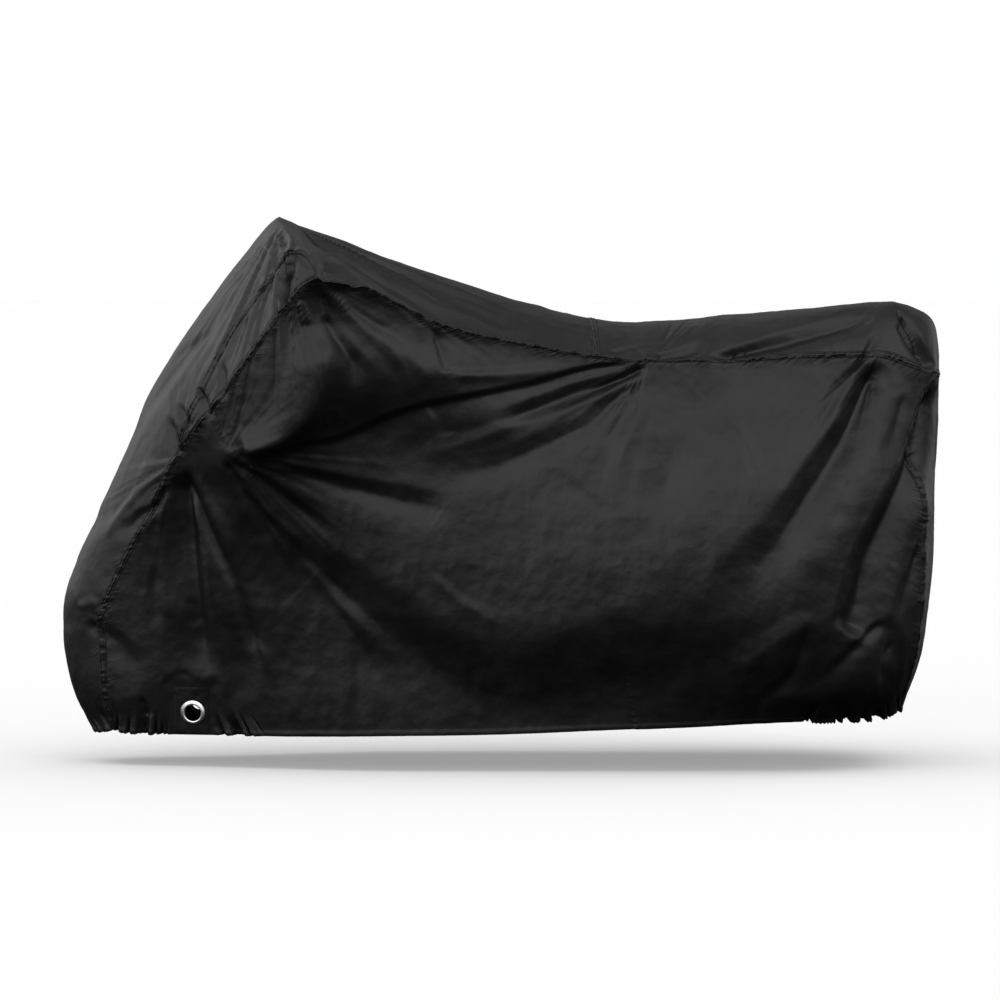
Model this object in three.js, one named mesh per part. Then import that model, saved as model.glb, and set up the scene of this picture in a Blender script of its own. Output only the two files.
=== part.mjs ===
// A fitted outdoor cover, standing open and hollow in the shape in which it hangs.
// Millimetres. X runs along the length with the nose at -X, Y across, Z up.
// In the tables x is the place along the length, half the distance out from the middle plane,
// and z the height above the ground. The finished cover is set down so that its hem starts at zero.

import * as THREE from 'three';

// Driving dimensions
const CLOTH = 2;
const SEAM_GAP = 0.3;
const HEM_ABOVE_GROUND = 74;
const NARROWEST_FOLD = 42;
const EYELET = { x: -723, z: 130, hole: 39, outside: 60, thick: 2.6, barrel: 1.6, washer: 1, seat: 0.3 };
const PATCH = { front: -768, rear: -684, top: 192, slack: 0.6, lean: 0.16 };

// How many cells lie along each line of the pattern
const CELLS = { gusset: 12, nose: 16, middle: 16, tail: 22, tailEnd: 5, across: 10, strip: 3 };
const FOLD_SAMPLES = 14;
const HOLE_SEGMENTS = 12;
const RING_SEGMENTS = 20;

const CLOTH_FINISH = { color: 0x17181a, roughness: 0.55, metalness: 0 };
const METAL_FINISH = { color: 0xc9ccd0, roughness: 0.2, metalness: 1 };

const table = (columns, rows) =>
  rows.map((row) => Object.fromEntries(columns.split(' ').map((name, i) => [name, row[i]])));

// Seams, each from its upper or front end

const FRONT_SEAM_UPPER = table('x half z', [
  [-423, 362, 1156], [-451, 352, 1142], [-496, 338, 1095], [-581, 305, 978], [-671, 268, 856],
  [-764, 230, 728],
]);

const FRONT_SEAM_LOWER = table('x half z', [
  [-764, 230, 728], [-820, 196, 608], [-881, 160, 496], [-935, 128, 378], [-945, 120, 335],
  [-938, 118, 288], [-936, 116, 217], [-929, 110, 152], [-911, 98, 83],
]);

const GUSSET_SEAM = table('x half z', [
  [-433, 356, 1186], [-449, 344, 1209], [-483, 318, 1223], [-523, 290, 1181], [-583, 265, 1099],
  [-628, 250, 1030], [-703, 236, 882], [-731, 232, 824], [-756, 227, 738],
]);

const MIDDLE_SEAM = table('x half z', [
  [-423, 362, 1156], [-393, 350, 1147], [-315, 318, 1137], [-227, 280, 1092], [-116, 246, 1040],
  [20, 225, 1009], [111, 216, 992], [229, 212, 971],
]);

const TAIL_SEAM = table('x half z', [
  [229, 212, 971], [343, 214, 961], [447, 212, 964], [564, 208, 965], [703, 196, 973],
  [821, 182, 975], [899, 172, 977], [980, 160, 948], [1031, 140, 931],
]);

const REAR_SEAM = table('x half z', [
  [1031, 140, 931], [1014, 150, 896], [991, 168, 821], [976, 184, 751], [987, 194, 693],
  [1000, 204, 623], [997, 214, 518], [995, 214, 415], [988, 206, 341], [976, 188, 258],
  [956, 164, 190], [937, 140, 136],
]);

// The hem of a side panel in three stretches: ahead of the eyelet patch, under it and behind it

const HEM_FRONT = table('x half z', [[-911, 98, 83], [-872, 118, 77], [-768, 144, 77]]);

const HEM_PATCH = table('x half z', [[-768, 144, 77], [-684, 160, 77]]);

const HEM_REAR = table('x half z', [
  [-684, 160, 77], [-633, 176, 78], [-557, 198, 78], [-420, 240, 81], [-232, 280, 85],
  [1, 300, 88], [234, 304, 97], [481, 296, 107], [589, 284, 114], [690, 256, 118],
  [798, 220, 117], [877, 182, 117], [909, 160, 121], [937, 140, 136],
]);

// The middle line over the cover from the front hem to the rear hem, in stretches

const NOSE_LINE = table('x half z', [
  [-958, 0, 74], [-979, 0, 102], [-1008, 0, 155], [-1029, 0, 224], [-1041, 0, 314],
  [-1032, 0, 400], [-1001, 0, 491], [-960, 0, 584], [-910, 0, 696],
]);

const SHIELD_LINE = table('x half z', [
  [-906, 0, 707], [-875, 0, 777], [-837, 0, 870], [-782, 0, 967], [-715, 0, 1063],
  [-608, 0, 1206], [-546, 0, 1284], [-527, 0, 1300],
]);

const PEAK_LINE = table('x half z', [[-527, 0, 1300], [-494, 0, 1288]]);

const MIDDLE_LINE = table('x half z', [
  [-475, 0, 1278], [-403, 0, 1253], [-282, 0, 1206], [-144, 0, 1158], [6, 0, 1110],
  [120, 0, 1078], [218, 0, 1055],
]);

const TAIL_LINE = table('x half z', [
  [218, 0, 1055], [287, 0, 1049], [358, 0, 1049], [477, 0, 1058], [620, 0, 1070],
  [763, 0, 1083], [882, 0, 1094], [937, 0, 1096],
]);

const TAIL_END_LINE = table('x half z', [
  [937, 0, 1096], [982, 0, 1082], [1025, 0, 1055], [1039, 0, 1005], [1041, 0, 927],
]);

const BACK_LINE = table('x half z', [
  [1041, 0, 927], [1041, 0, 862], [1039, 0, 777], [1035, 0, 681], [1029, 0, 586],
  [1027, 0, 491], [1017, 0, 386], [1003, 0, 274], [982, 0, 200], [960, 0, 152], [946, 0, 124],
]);

// How full the section across is at each stretch: 1 falls straight like a tent, 2 is round, 3 boxy
const FULLNESS = { hem: 2.4, waist: 2, peak: 1.45, middle: 2, tail: 3.2, end: 2.4 };

// The share of a side panel, from each of its edges, over which the bulges fade in
const FREE = { top: 0.22, hem: 0.3, front: 0.14, rear: 0.16 };

// Where what is underneath pushes a side panel out, or lets it hang wide
const BULGES = table('x z long tall out', [
  [-10, 400, 720, 310, 46],
  [560, 560, 380, 330, 42],
  [-330, 610, 330, 260, 34],
  [-612, 756, 150, 190, 34],
  [-760, 380, 170, 300, 26],
  [850, 560, 240, 330, 26],
]);

// Broad swells, pushed out sideways; the hem and the middle line stay where they are
const SWELLS = table('x z long tall out', [
  [800, 195, 190, 200, 56],
  [-850, 235, 95, 150, 20],
  [-470, 870, 150, 260, 46],
  [-550, 820, 130, 150, 36],
  [-290, 950, 190, 130, 46],
  [-290, 930, 200, 170, 28],
  [-60, 900, 160, 110, 30],
  [-500, 900, 140, 150, 12],
  [905, 720, 90, 140, 20],
  [640, 620, 150, 180, 16],
  [0, 430, 260, 200, -12],
  [120, 205, 450, 110, 6],
]);
const SWELL_HOLD = { hem: 120, middle: 150 };

// Points where something hard stretches the cloth to a tip; a larger power makes the tip keener
const TIP_POWER = 1.6;
const POKES = table('x z wide out', [
  [-616, 752, 120, 22],
  [-132, 933, 90, 9],
  [340, 955, 80, 7],
]);

// Folds of the side, seen square on. Across a fold the cloth falls in over `drop` on its shaded
// side and comes out again over `rise`; a negative depth makes a ridge.
// Its ends run out over the given shares of its line, and it is narrower at its root than at its end.
const fold = (name, drop, rise, deep, line, ends = [0.12, 0.4]) => ({ name, drop, rise, deep, line, ends });
const FOLD_WIDTH = { root: 0.45, end: 1.2 };

const SIDE_FOLDS = [
  fold('upper tuck', 34, 60, 15,
    [[327, 963], [202, 947], [-45, 888], [-227, 844], [-395, 779], [-595, 756]], [0.1, 0.08]),
  fold('second tuck', 32, 60, 12, [[339, 956], [153, 888], [-69, 814]]),
  fold('third tuck', 46, 70, 9, [[330, 928], [202, 830], [-204, 725]]),
  fold('belly line', 110, 330, 30,
    [[-553, 681], [-348, 527], [-162, 406], [-17, 310], [141, 355], [327, 406], [560, 534]],
    [0.2, 0.35]),
  fold('wedge under the tip', 50, 70, 14, [[-609, 742], [-367, 686], [-87, 611]]),
  fold('first ray', 32, 50, 10, [[-609, 739], [-493, 653], [-353, 546]]),
  fold('second ray', 30, 44, 9, [[-619, 732], [-553, 620], [-469, 527]]),
  fold('fan edge', 46, 90, 15, [[-614, 762], [-493, 844], [-467, 942], [-458, 1044]], [0.12, 0.3]),
  fold('tuck below the corner', 32, 50, 8, [[-404, 1077], [-360, 1016], [-269, 914]]),
  fold('ridge from the corner', 50, 50, -7, [[-407, 1133], [-278, 1040], [-132, 933]]),
  fold('inner ridge', 34, 50, -6, [[-132, 933], [76, 944], [227, 968]]),
  fold('middle hollow', 56, 60, 11, [[444, 942], [362, 802], [292, 546]]),
  fold('middle ridge', 50, 70, -6, [[467, 872], [421, 709], [386, 592]], [0.3, 0.4]),
  fold('first tail fold', 36, 50, 9, [[880, 1035], [789, 905], [698, 769]]),
  fold('long tail fold', 52, 90, 20, [[880, 972], [700, 669], [486, 371]], [0.1, 0.35]),
  fold('rear fold', 48, 70, 20, [[1017, 916], [917, 658], [779, 331]], [0.1, 0.12]),
  fold('low rear fold', 34, 50, 8, [[896, 362], [831, 306], [719, 201]], [0.2, 0.4]),
  fold('low ridge', 44, 60, -8, [[714, 383], [607, 331], [476, 257]], [0.25, 0.3]),
  fold('low tuck', 38, 50, 7, [[709, 362], [677, 255], [577, 136]], [0.25, 0.3]),
  fold('front trough', 60, 60, 15, [[-761, 700], [-772, 546], [-775, 378]], [0.15, 0.5]),
  fold('slanted trough', 40, 70, 16, [[-749, 709], [-663, 518], [-577, 215]], [0.15, 0.25]),
  fold('nose tuck', 36, 50, 9, [[-772, 700], [-861, 611], [-945, 518]]),
  fold('nose crease', 34, 46, 8, [[-980, 345], [-873, 294], [-821, 173]], [0.2, 0.4]),
  fold('streak', 40, 60, -7, [[-465, 511], [-313, 348], [-181, 224]], [0.3, 0.4]),
];

// The far side has the same seams; its folds leave the same points at angles of their own
const FAR_SIDE = { turn: 0.07, turnStep: 1.9, least: 0.75, spread: 0.4, spreadStep: 2.7 };

// Folds of the front panel, seen along the length: the first number is the place across
const FRONT_FOLDS = [
  fold('left drape', 60, 90, 10, [[-250, 1150], [-150, 960], [-60, 700]], [0.2, 0.4]),
  fold('right drape', 60, 80, 8, [[270, 1130], [170, 930], [90, 640]], [0.2, 0.4]),
  fold('nose swag', 50, 80, 7, [[-190, 690], [-40, 600], [120, 640]], [0.3, 0.3]),
  fold('low swag', 50, 80, 6, [[110, 420], [10, 350], [-90, 380]], [0.3, 0.3]),
];

const BACK_FOLDS = [
  fold('left fall', 50, 80, 9, [[-110, 900], [-70, 640], [-20, 330]], [0.15, 0.4]),
  fold('right fall', 50, 70, 8, [[120, 880], [90, 600], [60, 300]], [0.15, 0.4]),
  fold('cross fall', 50, 70, 7, [[125, 900], [10, 700], [-120, 560]], [0.15, 0.4]),
];

// Pattern lines cut into equal cells

function cutLine(rows, cells) {
  const curve = new THREE.CatmullRomCurve3(rows.map((r) => new THREE.Vector3(r.x, -r.half, r.z)));
  curve.curveType = 'centripetal';
  curve.arcLengthDivisions = 400;
  return curve.getSpacedPoints(cells);
}

const join = (...lines) => lines.flatMap((line, i) => (i === 0 ? line : line.slice(1)));

const smooth = (t) => {
  const k = THREE.MathUtils.clamp(t, 0, 1);
  return k * k * (3 - 2 * k);
};

const mirrored = (p) => new THREE.Vector3(p.x, -p.y, p.z);

const noseSeam = cutLine(FRONT_SEAM_LOWER, CELLS.nose);
const frontSeamUpper = cutLine(FRONT_SEAM_UPPER, CELLS.gusset);
const gussetSeam = cutLine(GUSSET_SEAM, CELLS.gusset);
const middleSeam = cutLine(MIDDLE_SEAM, CELLS.middle);
const tailSeam = cutLine(TAIL_SEAM, CELLS.tail);
const rearSeam = cutLine(REAR_SEAM, CELLS.gusset + CELLS.nose);
const patchColumns = { from: 3, to: 5 };
const hem = join(
  cutLine(HEM_FRONT, patchColumns.from),
  cutLine(HEM_PATCH, patchColumns.to - patchColumns.from),
  cutLine(HEM_REAR, CELLS.middle + CELLS.tail - patchColumns.to),
);

// Panels that run from side to side: every row is a section from the left seam over the middle line

function sectionRow(edge, middle, fullness) {
  return Array.from({ length: CELLS.across + 1 }, (_, j) => {
    const across = (2 * j) / CELLS.across - 1;
    const fall = Math.abs(across) ** fullness;
    return new THREE.Vector3(
      THREE.MathUtils.lerp(middle.x, edge.x, fall),
      -across * edge.y,
      THREE.MathUtils.lerp(middle.z, edge.z, fall),
    );
  });
}

function sectionStretch(edges, middles, fullnessFrom, fullnessTo) {
  return edges.map((edge, i) => {
    const fullness = THREE.MathUtils.lerp(fullnessFrom, fullnessTo, i / (edges.length - 1));
    return sectionRow(edge, middles[i], fullness);
  });
}

function frontGrid() {
  const upward = (line) => [...line].reverse();
  const shieldLine = join(cutLine(SHIELD_LINE, CELLS.gusset - 1), cutLine(PEAK_LINE, 1));
  return [
    ...sectionStretch(upward(noseSeam), cutLine(NOSE_LINE, CELLS.nose), FULLNESS.hem, FULLNESS.waist),
    ...sectionStretch(upward(gussetSeam), shieldLine, FULLNESS.waist, FULLNESS.peak),
    ...sectionStretch(middleSeam, cutLine(MIDDLE_LINE, CELLS.middle), FULLNESS.peak, FULLNESS.middle),
  ];
}

function topGrid() {
  const over = cutLine(TAIL_LINE, CELLS.tail - CELLS.tailEnd);
  const middle = join(over, cutLine(TAIL_END_LINE, CELLS.tailEnd));
  return sectionStretch(tailSeam, middle, FULLNESS.middle, FULLNESS.tail);
}

function backGrid() {
  const middle = cutLine(BACK_LINE, rearSeam.length - 1);
  return sectionStretch(rearSeam, middle, FULLNESS.tail, FULLNESS.end);
}

// Side panel: the sheet spanned between its four seams, pushed out where the bulges are

function spanned(top, bottom, front, rear) {
  const rows = front.length - 1;
  const columns = top.length - 1;
  return front.map((f, i) =>
    top.map((t, j) => {
      const u = j / columns;
      const v = i / rows;
      const point = new THREE.Vector3();
      point.addScaledVector(t, 1 - v).addScaledVector(bottom[j], v);
      point.addScaledVector(f, 1 - u).addScaledVector(rear[i], u);
      point.addScaledVector(top[0], -(1 - u) * (1 - v)).addScaledVector(top[columns], -u * (1 - v));
      point.addScaledVector(bottom[0], -(1 - u) * v).addScaledVector(bottom[columns], -u * v);
      const upright = smooth(v / FREE.top) * smooth((1 - v) / FREE.hem);
      const endwise = smooth(u / FREE.front) * smooth((1 - u) / FREE.rear);
      point.y -= upright * endwise * pushedOut(point, BULGES);
      return point;
    }),
  );
}

function pushedOut(point, bulges) {
  return bulges.reduce((sum, b) => {
    const along = (point.x - b.x) / b.long;
    const up = (point.z - b.z) / b.tall;
    return sum + b.out * Math.exp(-(along * along) - up * up);
  }, 0);
}

function swelled(point) {
  const aboveHem = smooth((point.z - HEM_ABOVE_GROUND) / SWELL_HOLD.hem);
  const aside = smooth((Math.abs(point.y) - MIDDLE_STRIP) / SWELL_HOLD.middle);
  const out = aboveHem * aside * pushedOut(point, SWELLS);
  return new THREE.Vector3(point.x, point.y + Math.sign(point.y) * out, point.z);
}

const sideGrid = () =>
  spanned(join(middleSeam, tailSeam), hem, join(frontSeamUpper, noseSeam), rearSeam);

function gussetGrid() {
  const shares = Array.from({ length: CELLS.strip + 1 }, (_, j) => j / CELLS.strip);
  return gussetSeam.map((front, i) => shares.map((share) => front.clone().lerp(frontSeamUpper[i], share)));
}

// Folds. The side of a fold that faces away from this direction is its shaded side.

const LIGHT = new THREE.Vector2(-0.45, 0.9);

function readied(folds, turnOf = () => 0, depthOf = () => 1) {
  return folds.map((f, number) => {
    const turn = turnOf(number);
    const root = new THREE.Vector2(...f.line[0]);
    const points = f.line.map((p) => new THREE.Vector2(...p).rotateAround(root, turn));
    const samples = new THREE.SplineCurve(points).getSpacedPoints(FOLD_SAMPLES);
    const run = points.at(-1).clone().sub(points[0]);
    const shaded = LIGHT.dot(new THREE.Vector2(-run.y, run.x)) > 0 ? -1 : 1;
    const drop = Math.max(f.drop, NARROWEST_FOLD);
    return { ...f, samples, shaded, drop, deep: f.deep * depthOf(number) };
  });
}

function nearestOn(samples, place) {
  let best = { distance: Infinity };
  for (let k = 0; k + 1 < samples.length; k += 1) {
    const step = samples[k + 1].clone().sub(samples[k]);
    const away = place.clone().sub(samples[k]);
    const share = THREE.MathUtils.clamp(away.dot(step) / step.lengthSq(), 0, 1);
    const distance = away.distanceTo(step.clone().multiplyScalar(share));
    if (distance < best.distance) {
      const left = Math.sign(step.cross(away)) || 1;
      best = { distance, left, along: (k + share) / (samples.length - 1) };
    }
  }
  return best;
}

function foldedIn(folds, place) {
  return folds.reduce((sum, f) => {
    const { distance, left, along } = nearestOn(f.samples, place);
    const across = left * f.shaded * distance;
    const reach = THREE.MathUtils.lerp(FOLD_WIDTH.root, FOLD_WIDTH.end, along);
    const into = smooth(across / (f.drop * reach) + 0.5);
    const out = smooth((across - 0.5 * f.drop * reach) / (f.rise * reach));
    const ends = smooth(along / f.ends[0]) * smooth((1 - along) / f.ends[1]);
    return sum + f.deep * ends * (into - out);
  }, 0);
}

function pokedOut(place) {
  return POKES.reduce((sum, p) => {
    const away = Math.hypot(place.x - p.x, place.y - p.z) / p.wide;
    return sum + p.out * Math.max(0, 1 - away) ** TIP_POWER;
  }, 0);
}

const NEAR_FOLDS = readied(SIDE_FOLDS);
const FAR_FOLDS = readied(
  SIDE_FOLDS,
  (n) => FAR_SIDE.turn * Math.sin(FAR_SIDE.turnStep * (n + 1)),
  (n) => FAR_SIDE.least + FAR_SIDE.spread * Math.sin(FAR_SIDE.spreadStep * n) ** 2,
);

// How far a place of the cover lies in or out of its smooth form, along its own outward direction

const MIDDLE_STRIP = 90;
const SEAM_STRIP = 0.3;

function sideRelief(point) {
  const place = new THREE.Vector2(point.x, point.z);
  const folds = point.y < 0 ? NEAR_FOLDS : FAR_FOLDS;
  return smooth(Math.abs(point.y) / MIDDLE_STRIP) * (pokedOut(place) - foldedIn(folds, place));
}

const endFolds = (folds) => {
  const ready = readied(folds);
  return (point, share) => -share * foldedIn(ready, new THREE.Vector2(point.y, point.z));
};

const fromSeam = (j, cells) => smooth(Math.min(j, cells - j) / (SEAM_STRIP * cells));

// Normals are shared by the cells of all panels that meet at a corner

const cornerKey = (p) => `${p.x.toFixed(2)},${p.y.toFixed(2)},${p.z.toFixed(2)}`;

function sharedNormals(grids) {
  const sums = new Map();
  for (const grid of grids) {
    for (let i = 0; i + 1 < grid.length; i += 1) {
      for (let j = 0; j + 1 < grid[0].length; j += 1) {
        const corners = [grid[i][j], grid[i + 1][j], grid[i + 1][j + 1], grid[i][j + 1]];
        const diagonal = corners[2].clone().sub(corners[0]);
        const facing = diagonal.cross(corners[3].clone().sub(corners[1]));
        for (const corner of corners) {
          const key = cornerKey(corner);
          sums.set(key, (sums.get(key) ?? new THREE.Vector3()).add(facing));
        }
      }
    }
  }
  return (point) => sums.get(cornerKey(point)).clone().normalize();
}

// The short ends of a gusset lie straight along the front panel and share its direction there

function straightenEnds(grid) {
  for (const row of [grid[0], grid.at(-1)]) {
    row.forEach((p, j) => p.copy(row[0].clone().lerp(row.at(-1), j / (row.length - 1))));
  }
}

function levelledEnds(normalAt, grids) {
  const levelled = new Map();
  for (const row of grids.flatMap((grid) => [grid[0], grid.at(-1)])) {
    const first = normalAt(row[0]);
    const last = normalAt(row.at(-1));
    row.forEach((p, j) => {
      const facing = first.clone().lerp(last, j / (row.length - 1));
      levelled.set(cornerKey(p), facing.normalize());
    });
  }
  return (point) => levelled.get(cornerKey(point)) ?? normalAt(point);
}

// The flat place that the eyelet patch needs in the hem of each side panel

function patchPlane(sign) {
  const half = THREE.MathUtils.lerp(HEM_PATCH[0].half, HEM_PATCH[1].half, 0.5);
  const out = half + PATCH.lean * (EYELET.z - HEM_PATCH[0].z);
  const centre = new THREE.Vector3(EYELET.x, sign * out, EYELET.z);
  const turn = (HEM_PATCH[1].half - HEM_PATCH[0].half) / (HEM_PATCH[1].x - HEM_PATCH[0].x);
  const normal = new THREE.Vector3(-turn, sign, -PATCH.lean).normalize();
  return new THREE.Plane().setFromNormalAndCoplanarPoint(normal, centre);
}

const onPlane = (plane, x, z) =>
  new THREE.Vector3(x, -(plane.normal.x * x + plane.normal.z * z + plane.constant) / plane.normal.y, z);

function setPatchFrame(grid, plane, columns, ends) {
  const bottom = grid.length - 1;
  const top = bottom - CELLS.strip;
  for (let i = top; i <= bottom; i += 1) {
    for (let j = columns.from; j <= columns.to; j += 1) {
      const share = (j - columns.from) / (columns.to - columns.from);
      const x = THREE.MathUtils.lerp(ends[0], ends[1], share);
      const z = THREE.MathUtils.lerp(PATCH.top, HEM_PATCH[0].z, (i - top) / (bottom - top));
      grid[i][j].copy(onPlane(plane, x, z));
    }
  }
  return { top, ...columns };
}

// Sheets: each panel's grid becomes a closed solid as thick as the cloth, held back from its seams

function cellsOf(grid, notch) {
  const cells = [];
  for (let i = 0; i + 1 < grid.length; i += 1) {
    for (let j = 0; j + 1 < grid[0].length; j += 1) {
      const cut = notch && i >= notch.top && j >= notch.from && j < notch.to;
      if (!cut) {
        cells.push([[i, j], [i + 1, j], [i + 1, j + 1], [i, j + 1]]);
      }
    }
  }
  return cells;
}

function sheet(grid, normalAt, notch) {
  const width = grid[0].length;
  const index = ([i, j]) => i * width + j;
  const points = grid.flat();
  const normals = points.map(normalAt);
  const cells = cellsOf(grid, notch).map((cell) => cell.map(index));
  const edges = new Map();
  for (const cell of cells) {
    cell.forEach((a, k) => edges.set(`${a} ${cell[(k + 1) % 4]}`, [a, cell[(k + 1) % 4]]));
  }
  const rim = [...edges.values()].filter(([a, b]) => !edges.has(`${b} ${a}`));
  const held = new Map();
  for (const [a, b] of rim) {
    const along = points[b].clone().sub(points[a]);
    for (const corner of [a, b]) {
      const inward = normals[corner].clone().cross(along).normalize();
      held.set(corner, [...(held.get(corner) ?? []), inward]);
    }
  }
  const shift = points.map((_, n) => {
    const [one, two] = held.get(n) ?? [new THREE.Vector3(), new THREE.Vector3()];
    return one.clone().add(two).multiplyScalar((0.5 * SEAM_GAP) / (1 + one.dot(two)));
  });
  const outer = points.map((p, n) => p.clone().add(shift[n]));
  const inner = outer.map((p, n) => p.clone().addScaledVector(normals[n], -CLOTH));
  const under = points.length;
  const faces = [];
  for (const [a, b, c, d] of cells) {
    const bent = normals[a].dot(normals[c]) < normals[b].dot(normals[d]);
    const halves = bent ? [[a, b, d], [b, c, d]] : [[a, b, c], [a, c, d]];
    for (const [p, q, r] of halves) {
      faces.push(p, q, r, under + p, under + r, under + q);
    }
  }
  for (const [a, b] of rim) {
    const fromA = cornerKey(points[a]) < cornerKey(points[b]);
    const cut = fromA ? [under + b, a] : [under + a, b];
    faces.push(b, a, cut[0], cut[1], under + a, under + b);
  }
  return closedSheet([...outer, ...inner], faces);
}

function closedSheet(vertices, faces) {
  const used = [...new Set(faces)];
  const renamed = new Map(used.map((old, n) => [old, n]));
  const geometry = new THREE.BufferGeometry();
  const places = used.flatMap((n) => vertices[n].toArray());
  geometry.setAttribute('position', new THREE.Float32BufferAttribute(places, 3));
  geometry.setIndex(faces.map((n) => renamed.get(n)));
  geometry.computeVertexNormals();
  return geometry;
}

// Eyelet patch: a flat doubled piece that fills its place in the hem, with the eyelet's hole

function insetOutline(outline, gap) {
  return outline.map((p, n) => {
    const before = p.clone().sub(outline.at(n - 1)).normalize();
    const after = outline[(n + 1) % outline.length].clone().sub(p).normalize();
    const one = new THREE.Vector2(-before.y, before.x);
    const two = new THREE.Vector2(-after.y, after.x);
    return p.clone().addScaledVector(one.clone().add(two), gap / (1 + one.dot(two)));
  });
}

function facingOut(plane, centre) {
  const across = new THREE.Vector3(0, 0, 1).cross(plane.normal).normalize();
  const up = plane.normal.clone().cross(across);
  return new THREE.Matrix4().makeBasis(across, up, plane.normal).setPosition(centre);
}

function patchGeometry(plane) {
  const centre = onPlane(plane, EYELET.x, EYELET.z);
  const toFlat = facingOut(plane, centre).invert();
  const corners = [
    [PATCH.front, HEM_PATCH[0].z], [PATCH.rear, HEM_PATCH[0].z],
    [PATCH.rear, PATCH.top], [PATCH.front, PATCH.top],
  ].map(([x, z]) => onPlane(plane, x, z).applyMatrix4(toFlat)).map((p) => new THREE.Vector2(p.x, p.y));
  const outline = THREE.ShapeUtils.isClockWise(corners) ? corners.reverse() : corners;
  const shape = new THREE.Shape(insetOutline(outline, PATCH.slack));
  const barrelRadius = EYELET.hole / 2 + EYELET.barrel;
  shape.holes.push(new THREE.Path().absarc(0, 0, barrelRadius + EYELET.seat, 0, 2 * Math.PI, true));
  const thickness = { depth: CLOTH, bevelEnabled: false, curveSegments: HOLE_SEGMENTS };
  const plate = new THREE.ExtrudeGeometry(shape, thickness);
  return plate.translate(0, 0, -CLOTH).applyMatrix4(facingOut(plane, centre));
}

// Eyelet: a rolled flange outside, a barrel through the patch and a washer inside

function eyeletGeometry(plane) {
  const { hole, outside, thick, barrel, washer, seat } = EYELET;
  const bore = hole / 2;
  const lip = outside / 2;
  const shoulder = lip - 3;
  const back = -CLOTH - seat;
  const profile = [
    [bore, 0.6 * thick], [bore + 2, seat + thick], [shoulder, seat + 0.8 * thick],
    [lip, seat + 0.2 * thick], [lip - 0.5, seat], [bore + barrel, seat],
    [bore + barrel, back], [shoulder, back], [shoulder, back - washer], [bore, back - 1.2 * washer],
  ].map(([r, h]) => new THREE.Vector2(r, h));
  const ring = new THREE.LatheGeometry([...profile, profile[0]].reverse(), RING_SEGMENTS);
  ring.rotateX(Math.PI / 2);
  return ring.applyMatrix4(facingOut(plane, onPlane(plane, EYELET.x, EYELET.z)));
}

// Assembly

const clothMaterial = () => new THREE.MeshStandardMaterial({ ...CLOTH_FINISH, side: THREE.DoubleSide });
const metalMaterial = () => new THREE.MeshStandardMaterial(METAL_FINISH);

function piece(name, geometry, material) {
  const mesh = new THREE.Mesh(geometry, material);
  mesh.name = name;
  return mesh;
}

const mirroredGrid = (grid) => grid.map((row) => row.map(mirrored).reverse());

const baseGrids = {
  side_left: sideGrid(),
  side_right: mirroredGrid(sideGrid()),
  gusset_left: gussetGrid(),
  gusset_right: mirroredGrid(gussetGrid()),
  front: frontGrid(),
  top_rear: topGrid(),
  back: backGrid(),
};
const grids = Object.fromEntries(
  Object.entries(baseGrids).map(([name, grid]) => [name, grid.map((row) => row.map(swelled))]),
);

const endRelief = { front: endFolds(FRONT_FOLDS), back: endFolds(BACK_FOLDS) };

function folded(name, grid, normalAt) {
  const own = endRelief[name] ?? (() => 0);
  return grid.map((row, i) =>
    row.map((p, j) => {
      const share = fromSeam(j, row.length - 1) * fromSeam(i, grid.length - 1);
      return p.clone().addScaledVector(normalAt(p), sideRelief(p) + own(p, share));
    }),
  );
}

const smoothNormals = sharedNormals(Object.values(grids));
const draped = Object.fromEntries(
  Object.entries(grids).map(([name, grid]) => [name, folded(name, grid, smoothNormals)]),
);

const lastColumn = hem.length - 1;
const farColumns = { from: lastColumn - patchColumns.to, to: lastColumn - patchColumns.from };
const planes = { left: patchPlane(-1), right: patchPlane(1) };
const notches = {
  side_left: setPatchFrame(draped.side_left, planes.left, patchColumns, [PATCH.front, PATCH.rear]),
  side_right: setPatchFrame(draped.side_right, planes.right, farColumns, [PATCH.rear, PATCH.front]),
};
const gussets = [draped.gusset_left, draped.gusset_right];
gussets.forEach(straightenEnds);
const drapedNormals = levelledEnds(sharedNormals(Object.values(draped)), gussets);

const cover = new THREE.Group();
cover.position.z = -HEM_ABOVE_GROUND;
for (const [name, grid] of Object.entries(draped)) {
  cover.add(piece(name, sheet(grid, drapedNormals, notches[name]), clothMaterial()));
}
for (const [side, plane] of Object.entries(planes)) {
  cover.add(piece(`eyelet_patch_${side}`, patchGeometry(plane), clothMaterial()));
  cover.add(piece(`eyelet_${side}`, eyeletGeometry(plane), metalMaterial()));
}

export default cover;
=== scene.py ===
# %% [markdown]
# # A fitted outdoor cover in black coated cloth
# The real thing is a tent of thin coated polyester. A maker cuts a few flat panels, laps and double
# stitches them along long seams, runs elastic through parts of the hem and sets an eyelet low on each
# side. What it covers pushes it out at a few hard points, and tension folds run between those points.
#
# It could be made by dropping a flat sheet in a cloth simulation, but then every fold lands where
# chance puts it. Here each panel is spanned between its real seam lines, as its solid is, and the
# folds are laid on it one by one, so they leave the same points in the same directions as on the real one.

# %% Bring in the imported solids as a fixed frame
import math

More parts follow.
